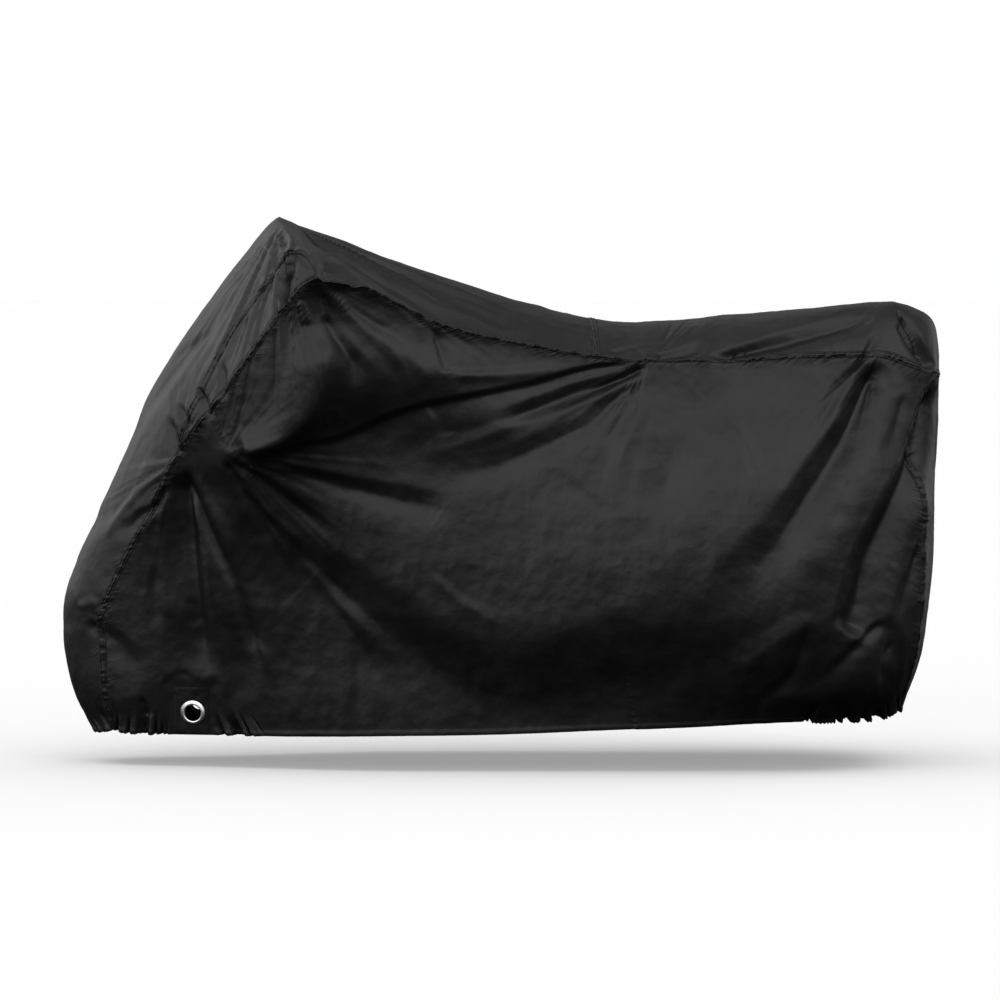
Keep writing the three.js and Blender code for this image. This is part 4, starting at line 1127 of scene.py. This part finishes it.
class Weave:
    """Rows, columns and faces of a panel's mesh; `inside` is how far a corner lies under the cloth."""

    def __init__(self, panel):
        self.panel = panel
        self.rows, self.columns = panel.base.shape[:2]
        self.index = np.arange(self.rows * self.columns).reshape(self.rows, self.columns)
        grid_i, grid_j = np.meshgrid(np.arange(self.rows), np.arange(self.columns), indexing="ij")
        self.at_i, self.at_j = list(grid_i.ravel()), list(grid_j.ravel())
        self.inside = [0.0] * len(self.at_i)
        self.kept = np.ones((self.rows - 1, self.columns - 1), bool)
        self.extra = []
        self.edge = self.index[0 if panel.hem == "first_row" else -1].tolist()

    def add(self, i, j, inside=0.0):
        """Numbers of new corners at rows i and columns j."""
        first = len(self.at_i)
        self.at_i += list(i.ravel())
        self.at_j += list(j.ravel())
        self.inside += [inside] * i.size
        return first + np.arange(i.size).reshape(i.shape)

    def refine(self, first, last):
        """Finer columns in the rows near the hem, between two columns."""
        top = near_hem_row
        self.kept[top - 1:, first:last] = False
        fine_j = np.arange(first * FINER, last * FINER + 1) / FINER
        number = self.add(*np.meshgrid(np.arange(top, self.rows), fine_j, indexing="ij"))
        number[:, 0], number[:, -1] = self.index[top:, first], self.index[top:, last]
        number[0, ::FINER] = self.index[top, first:last + 1]
        self.extra += grid_cells(number).reshape(-1, 4).tolist()
        for k, j in enumerate(range(first, last)):
            below = number[0, k * FINER:(k + 1) * FINER + 1].tolist()
            self.extra.append([int(self.index[top - 1, j]), *below, int(self.index[top - 1, j + 1])])
        start, end = (self.edge.index(int(self.index[-1, j])) for j in (first, last))
        self.edge[start:end + 1] = number[-1].tolist()

    def turn_in_hem(self):
        """The strip that is folded under along the hem."""
        first_row = self.panel.hem == "first_row"
        columns = np.array(self.at_j, float)[self.edge]
        second = self.panel.facts["hem_up"][1 if first_row else -2]
        cell = np.interp(columns, np.arange(self.columns), second)
        strips = [np.array(self.edge)]
        for t in TURNED_IN:
            rows_up = t["up"] / cell
            rows = rows_up if first_row else self.rows - 1 - rows_up
            strips.append(self.add(rows, columns, t["inside"]))
        strips = np.array(strips[::-1] if first_row else strips)
        self.extra += grid_cells(strips).reshape(-1, 4).tolist()

    def faces(self):
        return grid_cells(self.index)[self.kept].tolist() + self.extra


# %% Turn rows and columns into meshes
def without_eyelet_hole(points, faces):
    """The faces, less those behind the eyelet."""
    close = np.hypot(points[:, 0] - EYELET["x"], points[:, 2] - EYELET["z"]) < EYELET_ROOM
    close &= np.abs(points[:, 1]) > MIDDLE_STRIP
    return [face for face in faces if not close[face].all()]


def to_frame(points):
    """Millimetres above the ground to metres in the frame of the solids."""
    return (points - np.array([0, 0, HEM_ABOVE_GROUND])) * MM


def new_object(name, points, faces, facts=None, sharp=60):
    """A mesh of the used points only, in metres, with facts stored at its corners."""
    used = np.unique(np.concatenate([np.asarray(face) for face in faces]))
    renamed = np.zeros(len(points), int)
    renamed[used] = np.arange(len(used))
    mesh = bpy.data.meshes.new(name)
    mesh.from_pydata(to_frame(points[used]).tolist(), [], [renamed[face].tolist() for face in faces])
    for fact, values in (facts or {}).items():
        layer = mesh.attributes.new(fact, "FLOAT", "POINT")
        layer.data.foreach_set("value", (values[used] * MM).astype(np.float32))
    mesh.shade_smooth()
    mesh.set_sharp_from_angle(angle=math.radians(sharp))
    made = bpy.data.objects.new(name, mesh)
    bpy.context.scene.collection.objects.link(made)
    return made


# %% Make the seven cloth panels
SHOWN_FACTS = ("seam_away", "seam_along", "warp", "weft")


def stretch_columns():
    """Columns between which each side's hem is gathered."""
    hem_x = panels["side_left"].base[-1, :, 0]
    front = int(np.searchsorted(hem_x, GATHERED["front_end"]))
    rear = int(np.searchsorted(hem_x, GATHERED["rear_start"]))
    return [(0, front), (rear, len(hem_x) - 1)]


def make_panel(name, panel):
    weave = Weave(panel)
    if name.startswith("side"):
        for first, last in stretch_columns():
            weave.refine(first, last)
    if panel.hem:
        weave.turn_in_hem()
    places, outward, facts = panel.at(weave.at_i, weave.at_j)
    points = places - outward * np.array(weave.inside)[:, None]
    faces = weave.faces()
    if name.startswith("side"):
        faces = without_eyelet_hole(points, faces)
    if panel.flip:
        faces = [face[::-1] for face in faces]
    made = new_object(name + "_cloth", points, faces, {fact: facts[fact] for fact in SHOWN_FACTS})
    triangles = sum(len(p.vertices) - 2 for p in made.data.polygons)
    area = sum(p.area for p in made.data.polygons)
    print(name, "triangles:", triangles, "area:", round(area, 3))
    return made


cloths = {name: make_panel(name, panel) for name, panel in panels.items()}

# %% [markdown]
# ## Seams and stitches
# Each seam is a flat felled one: the two edges are lapped, folded under and held by two rows of
# stitches, so it stands a little proud as a band about seventeen millimetres wide, and the thread
# draws it into small puckers. A painted line would vanish from close by, so bands and stitches are
# meshes.


# %% An edge of a panel that a seam runs along
class Edge:
    """Numbers k run along the edge; `away` is the distance in from it, in millimetres."""

    def __init__(self, panel, start, step, inward, count):
        self.panel = panel
        self.start = np.array(start)
        self.step = np.array(step)
        self.inward = np.array(inward)
        corner = self.start + np.arange(count + 1)[:, None] * self.step
        second = corner + self.inward
        base = panel.base
        self.line = base[corner[:, 0], corner[:, 1]]
        self.cell = np.linalg.norm(base[second[:, 0], second[:, 1]] - self.line, axis=1)

    def at(self, k, away):
        cells = away / np.interp(k, np.arange(len(self.cell)), self.cell)
        i = self.start[0] + self.step[0] * k + self.inward[0] * cells
        j = self.start[1] + self.step[1] * k + self.inward[1] * cells
        places, outward, _ = self.panel.at(i, j)
        return places, outward


def stations(edge, pitch, inset=0):
    """Numbers k at even distances along an edge."""
    run = run_along(edge.line)
    count = max(int((run[-1] - 2 * inset) / pitch), 2)
    return np.interp(np.linspace(inset, run[-1] - inset, count + 1), run, np.arange(len(run))), run[-1]


# %% All seams, each as the two edges that meet in it
def seam_table():
    rows_down = len(down_shares) - 1
    nose_rows = FINE["nose"] + FINE["near_hem"]
    shield_start = nose_rows + FINE["strip"]
    middle_start = shield_start + FINE["gusset"] + FINE["strip"]
    front, top, back = panels["front"], panels["top_rear"], panels["back"]
    across = FINE["across"]
    seams = {
        "cross": (
            Edge(front, (middle_start + FINE["middle"], 0), (0, 1), (-1, 0), across),
            Edge(top, (0, 0), (0, 1), (1, 0), across), "top_rear",
        ),
        "tail_end": (
            Edge(top, (FINE["tail"], 0), (0, 1), (-1, 0), across),
            Edge(back, (0, 0), (0, 1), (1, 0), across), "back",
        ),
    }
    for hand, column, inward in (("left", 0, 1), ("right", across, -1)):
        side, gusset = panels[f"side_{hand}"], panels[f"gusset_{hand}"]
        last = side.base.shape[1] - 1
        owner = f"side_{hand}"
        seams[f"front_upper_{hand}"] = (
            Edge(gusset, (0, FINE["strip"]), (1, 0), (0, -1), FINE["gusset"]),
            Edge(side, (0, 0), (1, 0), (0, 1), FINE["gusset"]), owner,
        )
        seams[f"front_lower_{hand}"] = (
            Edge(front, (nose_rows, column), (-1, 0), (0, inward), nose_rows),
            Edge(side, (gusset_row, 0), (1, 0), (0, 1), nose_rows), owner,
        )
        seams[f"gusset_{hand}"] = (
            Edge(front, (shield_start + FINE["gusset"], column), (-1, 0), (0, inward), FINE["gusset"]),
            Edge(gusset, (0, 0), (1, 0), (0, 1), FINE["gusset"]), f"gusset_{hand}",
        )
        seams[f"middle_{hand}"] = (
            Edge(front, (middle_start, column), (1, 0), (0, inward), FINE["middle"]),
            Edge(side, (0, 0), (0, 1), (1, 0), FINE["middle"]), owner,
        )
        seams[f"tail_{hand}"] = (
            Edge(top, (0, column), (1, 0), (0, inward), FINE["tail"]),
            Edge(side, (0, middle_column), (0, 1), (1, 0), FINE["tail"]), owner,
        )
        seams[f"rear_{hand}"] = (
            Edge(back, (0, column), (1, 0), (0, inward), rows_down),
            Edge(side, (0, last), (1, 0), (0, -1), rows_down), owner,
        )
    return seams


# %% The felled bands
BAND = table("across high", [
    (-8.4, -0.5), (-7.4, 1.3), (-5.7, 1.3), (-4.3, -0.1), (-2.9, 1.3), (0, 1.7), (2.9, 1.3), (4.3, -0.1),
    (5.7, 1.3), (7.4, 1.3), (8.4, -0.5),
])
BAND_UNDER = 0.6
BAND_PITCH = 2.6
PUCKER = {"long": 6.0, "share": 0.8}


def across_seam(one, two, k, across):
    """Places on one side of a seam for negative distances, on the other for positive ones."""
    return (one if across < 0 else two).at(k, np.full(len(k), abs(float(across))))


def felled_band(name, one, two, seed):
    k, length = stations(one, BAND_PITCH)
    run = np.linspace(0, length, len(k))
    pucker = 1 + PUCKER["share"] * noise_along(run / PUCKER["long"], seed)
    rings = []
    for b in BAND:
        places, outward = across_seam(one, two, k, b["across"])
        rings.append(places + outward * (b["high"] * pucker)[:, None])
    for b in (BAND[-1], BAND[0]):
        places, outward = across_seam(one, two, k, b["across"])
        rings.append(places - outward * BAND_UNDER)
    around = len(rings)
    points = np.stack(rings, axis=1).reshape(-1, 3)
    last = len(points) - around
    faces = faces_round(len(k), around)
    faces += [list(range(around)), list(range(last, last + around))[::-1]]
    return facing_out(points, faces, rings, name)


def facing_out(points, faces, rings, name):
    """Turns the faces round if the band's top would face the cloth."""
    middle = len(BAND) // 2
    along = rings[middle][1] - rings[middle][0]
    across = rings[middle + 1][0] - rings[middle - 1][0]
    up = rings[middle][0] - rings[-1][0]
    if np.dot(np.cross(along, across), up) < 0:
        faces = [face[::-1] for face in faces]
    return new_object(name, points, faces)


# %% Stitches
STITCH = {"pitch": 4.0, "long": 2.9, "radius": 0.42, "row": 4.3, "above": 0.4, "inset": 2}
STITCH_FACES = [
    *[[0, 2 + k, 2 + (k + 1) % 4] for k in range(4)],
    *[[2 + k, 6 + k, 6 + (k + 1) % 4, 2 + (k + 1) % 4] for k in range(4)],
    *[[1, 6 + (k + 1) % 4, 6 + k] for k in range(4)],
]


def stitches(places, along, outward):
    """Points and faces of short spindles of thread that lie along a line."""
    along = unit(along)
    side = unit(np.cross(outward, along))
    up = np.cross(along, side)
    half, radius = STITCH["long"] / 2, STITCH["radius"]
    corners = [places - along * half, places + along * half]
    for end in (-0.5, 0.5):
        for k in range(4):
            turn = math.pi * (0.25 + 0.5 * k)
            off = (side * math.cos(turn) + up * math.sin(turn)) * radius
            corners.append(places + along * half * end + off)
    points = np.stack(corners, axis=1).reshape(-1, 3)
    faces = [[10 * n + corner for corner in face] for n in range(len(places)) for face in STITCH_FACES]
    return points, faces


def stitch_row(places, outward):
    """A row of stitches at places on the cloth, a little above it."""
    return stitches(places + outward * STITCH["above"], np.gradient(places, axis=0), outward)


def joined(parts):
    points, faces, start = [], [], 0
    for some_points, some_faces in parts:
        points.append(some_points)
        faces += [[corner + start for corner in face] for face in some_faces]
        start += len(some_points)
    return np.concatenate(points), faces


# %% Sew all seams
SEAM_SEED = 60
trims = {}


def add_trim(owner, made):
    trims.setdefault(owner, []).append(made)


def sew(name, one, two, owner, seed):
    add_trim(owner, felled_band(f"seam_{name}", one, two, seed))
    k, _ = stations(one, STITCH["pitch"], STITCH["inset"])
    rows = []
    for across in (-STITCH["row"], STITCH["row"]):
        rows.append(stitch_row(*across_seam(one, two, k, across)))
    add_trim(owner, new_object(f"stitches_{name}", *joined(rows)))
    return len(k)


for number, (name, (one, two, owner)) in enumerate(seam_table().items()):
    print("seam", name, "stitches a row:", sew(name, one, two, owner, SEAM_SEED + number))

# %% The row of stitches above the hem
HEM_ROW = 12.5


def hem_edge(name):
    panel = panels[name]
    rows, columns = panel.base.shape[:2]
    if name == "front":
        return Edge(panel, (0, 0), (0, 1), (1, 0), columns - 1)
    return Edge(panel, (rows - 1, 0), (0, 1), (-1, 0), columns - 1)


for name in ("side_left", "side_right", "front", "back"):
    edge = hem_edge(name)
    k, length = stations(edge, STITCH["pitch"], STITCH["inset"])
    row = stitch_row(*edge.at(k, np.full(len(k), HEM_ROW)))
    add_trim(name, new_object(f"hem_stitches_{name}", *row))
    print("hem", name, "length in mm:", round(length))

# %% [markdown]
# ## The eyelet and its patch
# A lock cable can be passed through the cover, so a doubled patch is stitched low on each side and a
# nickel eyelet is pressed through it. A cube with a hole cut in it would do, but a grid that runs from
# a circle to a rectangle keeps the hole round and the corners square. The eyelet is spun from one
# profile: a rolled flange outside, a barrel through the cloth and a washer inside.


# %% The patch
def local_axes(sign):
    """Centre, across, up and outward of an eyelet patch."""
    centre, outward = patch_plane(sign)
    across = unit(np.cross([0, 0, 1], outward))
    return centre, across, np.cross(outward, across), outward


def rays_round(sign, count):
    """Directions in the patch's plane, evenly round the eyelet."""
    _, across, up, _ = local_axes(sign)
    turns = np.linspace(0, 2 * math.pi, count, endpoint=False)
    return np.cos(turns)[:, None] * across + np.sin(turns)[:, None] * up


PATCH_MESH = {"around": 96, "rings": 9, "thick": 1.1, "slack": 0.8, "round": 0.6, "puff": 0.35}


def patch_outline(centre, along):
    """How far each ray runs from the eyelet's centre to the patch's edge."""
    limits = []
    for axis, low, high in ((0, PATCH["front"], PATCH["rear"]), (2, HEM_PATCH[0][2], PATCH["top"])):
        low, high = low + PATCH_MESH["slack"], high - PATCH_MESH["slack"]
        step = np.where(np.abs(along[:, axis]) < 1e-9, 1e-9, along[:, axis])
        limits.append(np.where(step > 0, high - centre[axis], low - centre[axis]) / step)
    return np.minimum(*limits)


def make_patch(hand, sign):
    """A doubled plate, closed, with the eyelet's hole."""
    centre, _, _, outward = local_axes(sign)
    along = rays_round(sign, PATCH_MESH["around"])
    inner = EYELET["hole"] / 2 + EYELET["barrel"] + EYELET["seat"]
    outer = patch_outline(centre, along)
    rings = PATCH_MESH["rings"]
    top, bottom = [], []
    for ring in range(rings + 1):
        share = ring / rings
        radius = inner + (outer - inner) * share
        edge = PATCH_MESH["round"] * max(0.0, share * rings - rings + 1)
        puff = PATCH_MESH["puff"] * math.sin(math.pi * share)
        flat = centre + along * radius[:, None]
        top.append(flat + outward * (puff - edge))
        bottom.append(flat - outward * PATCH_MESH["thick"])
    layers = top + bottom[::-1]
    faces = faces_round(len(layers), PATCH_MESH["around"], closed=True)
    return new_object(f"patch_{hand}", np.concatenate(layers), faces, sharp=50)


# %% The stitches round the patch
BORDER = {"inset": 4.5, "above": 0.25}


def patch_stitches(hand, sign):
    centre, _, _, outward = local_axes(sign)
    inset = BORDER["inset"]
    front, rear = PATCH["front"] + inset, PATCH["rear"] - inset
    low, high = HEM_PATCH[0][2] + HEM_ROW, PATCH["top"] - inset
    corners = []
    for x, z in ((front, low), (rear, low), (rear, high), (front, high), (front, low)):
        start = np.array([x, 0, z])
        start[1] = centre[1] - ((start - centre) * outward)[[0, 2]].sum() / outward[1]
        corners.append(start)
    rows = []
    for a, b in zip(corners, corners[1:]):
        count = int(np.linalg.norm(b - a) / STITCH["pitch"])
        share = ((np.arange(count) + 0.5) / count)[:, None]
        places = a + (b - a) * share + outward * BORDER["above"]
        rows.append(stitches(places, np.repeat([b - a], count, 0), outward))
    return new_object(f"stitches_patch_{hand}", *joined(rows))


# %% The eyelet
EYELET_PROFILE = table("out high", [
    (19.5, 0.2), (19.6, 1.6), (20.2, 2.5), (21.2, 2.9), (22.6, 2.95), (25.5, 2.6), (28.2, 1.9),
    (29.6, 1.1), (30.0, 0.55), (29.6, 0.3), (21.1, 0.3), (21.1, -2.3), (27.0, -2.3), (27.0, -3.2),
    (20.4, -3.4), (19.7, -3.0), (19.5, -2.2),
])


def make_eyelet(hand, sign, around=96):
    centre, _, _, outward = local_axes(sign)
    flat = rays_round(sign, around)
    layers = [centre + flat * p["out"] + outward * p["high"] for p in EYELET_PROFILE]
    faces = [face[::-1] for face in faces_round(len(layers), around, closed=True)]
    return new_object(f"ring_{hand}", np.concatenate(layers), faces, sharp=55)


patches, rings = {}, {}
for hand, sign in (("left", -1), ("right", 1)):
    patches[hand] = make_patch(hand, sign)
    rings[hand] = make_eyelet(hand, sign)
    add_trim(f"eyelet_patch_{hand}", patch_stitches(hand, sign))
    print("eyelet", hand, "outer width in mm:", round(max(rings[hand].dimensions) / MM, 1))

# %% [markdown]
# ## The finishes
# The cloth is plain-woven polyester with a coating: almost black, with a soft satin gloss and the fine
# uneven crumple of thin cloth. A picture of cloth would blur from close by, and these sums don't. The
# weave follows the cloth's own directions, which the meshes carry, and the puckers beside the seams
# come from the distances stored there. Heights are in millimetres, so one Bump node turns their sum
# into relief.

# %% Coated cloth
CLOTH = {"dark": (0.0060, 0.0062, 0.0066), "worn": (0.0125, 0.0128, 0.0133), "roughness": 0.37}
THREAD_WIDE = 0.0006
RELIEF = {
    "lumps": 3.0, "cells": 1.0, "pucker": 3.4, "weave": 0.012, "grain": 0.05, "creases": 8.0, "fine": 3.4,
}


def fact(start, name):
    return start.node("Attribute", {"attribute_name": name}, out="Fac")


def noise_of(start, place, size, detail=2.0):
    """Noise from 0 to 1 with lumps of a size in metres."""
    return start.node("TexNoise", sockets={"Vector": place, "Scale": 1 / size, "Detail": detail})


def make_cloth():
    material, start = new_material("coated_cloth")
    place = start.node("TexCoord", out="Object")
    warp, weft = fact(start, "warp"), fact(start, "weft")
    thread = 2 * math.pi / THREAD_WIDE
    weave = (warp * thread).sum("SINE", warp * thread) * (weft * thread).sum("SINE", weft * thread)
    away, along = fact(start, "seam_away"), fact(start, "seam_along")
    slanted = start.node("CombineXYZ", sockets={0: along + away * 0.45, 1: away * 0.12})
    pucker = noise_of(start, slanted, 0.009, detail=1.0) * (1 - away.between(0.003, 0.04))
    pucker = pucker * noise_of(start, place, 0.05).between(0.35, 0.68)
    lumps = noise_of(start, place, 0.055, detail=3.0)
    cells = start.node(
        "TexVoronoi", {"feature": "SMOOTH_F1"}, {"Vector": place, "Scale": 1 / 0.034, "Smoothness": 0.35}
    )
    grain = noise_of(start, place, 0.0012, detail=1.0)
    creases = (noise_of(start, place, 0.045, detail=2.0) - 0.5).sum("ABSOLUTE", 0)
    fine_creases = (noise_of(start, place, 0.016, detail=2.0) - 0.5).sum("ABSOLUTE", 0)
    height = lumps * RELIEF["lumps"] + cells * RELIEF["cells"] + pucker * RELIEF["pucker"]
    height = height + weave * RELIEF["weave"] + grain * RELIEF["grain"]
    height = height - creases * RELIEF["creases"] - fine_creases * RELIEF["fine"]
    bump = start.node("Bump", sockets={"Height": height, "Distance": 0.001, "Strength": 1.0})
    wear = noise_of(start, place, 0.09, detail=4.0).between(0.35, 0.75)
    colour = wear.blended(CLOTH["dark"], CLOTH["worn"])
    beside_seam = away.between(0.004, 0.0085) * (1 - away.between(0.0095, 0.013))
    rough = CLOTH["roughness"] + 0.1 * noise_of(start, place, 0.12, detail=3.0) + 0.4 * beside_seam
    skin = start.node(
        "BsdfPrincipled",
        sockets={"Base Color": colour, "Roughness": rough, "Normal": bump, "Specular IOR Level": 0.5},
    )
    start.node("OutputMaterial", sockets={"Surface": skin})
    return material


# %% Thread and nickel
def make_thread():
    material, start = new_material("thread")
    place = start.node("TexCoord", out="Object")
    tone = noise_of(start, place, 0.004).blended((0.012, 0.012, 0.0125), (0.03, 0.03, 0.031))
    twist = start.node("TexWave", sockets={"Vector": place, "Scale": 900.0, "Distortion": 2.0})
    bump = start.node("Bump", sockets={"Height": twist * 0.05, "Distance": 0.001})
    skin = start.node("BsdfPrincipled", sockets={"Base Color": tone, "Roughness": 0.5, "Normal": bump})
    start.node("OutputMaterial", sockets={"Surface": skin})
    return material


def make_nickel():
    material, start = new_material("nickel")
    place = start.node("TexCoord", out="Object")
    haze = noise_of(start, place, 0.006, detail=4.0)
    rough = 0.2 + 0.16 * haze
    tone = haze.blended((0.82, 0.81, 0.79), (0.66, 0.65, 0.63))
    grain = noise_of(start, place, 0.0008)
    bump = start.node("Bump", sockets={"Height": grain * 0.02, "Distance": 0.001})
    skin = start.node(
        "BsdfPrincipled", sockets={"Base Color": tone, "Roughness": rough, "Normal": bump, "Metallic": 1.0}
    )
    start.node("OutputMaterial", sockets={"Surface": skin})
    return material


cloth_finish, thread_finish, nickel_finish = make_cloth(), make_thread(), make_nickel()
print("finishes:", cloth_finish.name, thread_finish.name, nickel_finish.name)

# %% [markdown]
# ## Handing over
# Each piece takes its finish, rides on the cover's one body and stands for its solid.


def dress(made, material):
    made.data.materials.clear()
    made.data.materials.append(material)
    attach(made, "root")


for owner, made_list in trims.items():
    for made in made_list:
        dress(made, cloth_finish if made.name.startswith("seam") else thread_finish)
for name, made in cloths.items():
    dress(made, cloth_finish)
    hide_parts(name)
for hand, made in patches.items():
    dress(made, cloth_finish)
    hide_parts(f"eyelet_patch_{hand}")
    dress(rings[hand], nickel_finish)
    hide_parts(f"eyelet_{hand}")

# %% [markdown]
# ## A card for the metal
# Polished nickel shows only what stands before it. A white card near the viewer gives both rings their
# bright flange. It is kept off the cloth, which would turn grey under it.

# %% The card
CARD = {"place": (-1.2, -2.6, 0.9), "aim": (-0.72, 0.0, 0.06), "size": 3.4, "power": 60}
card_shape = {"shape": "SQUARE", "size": CARD["size"], "energy": CARD["power"]}
light_only(add_lamp("card", "AREA", card_shape, CARD["place"], CARD["aim"]), rings.values())
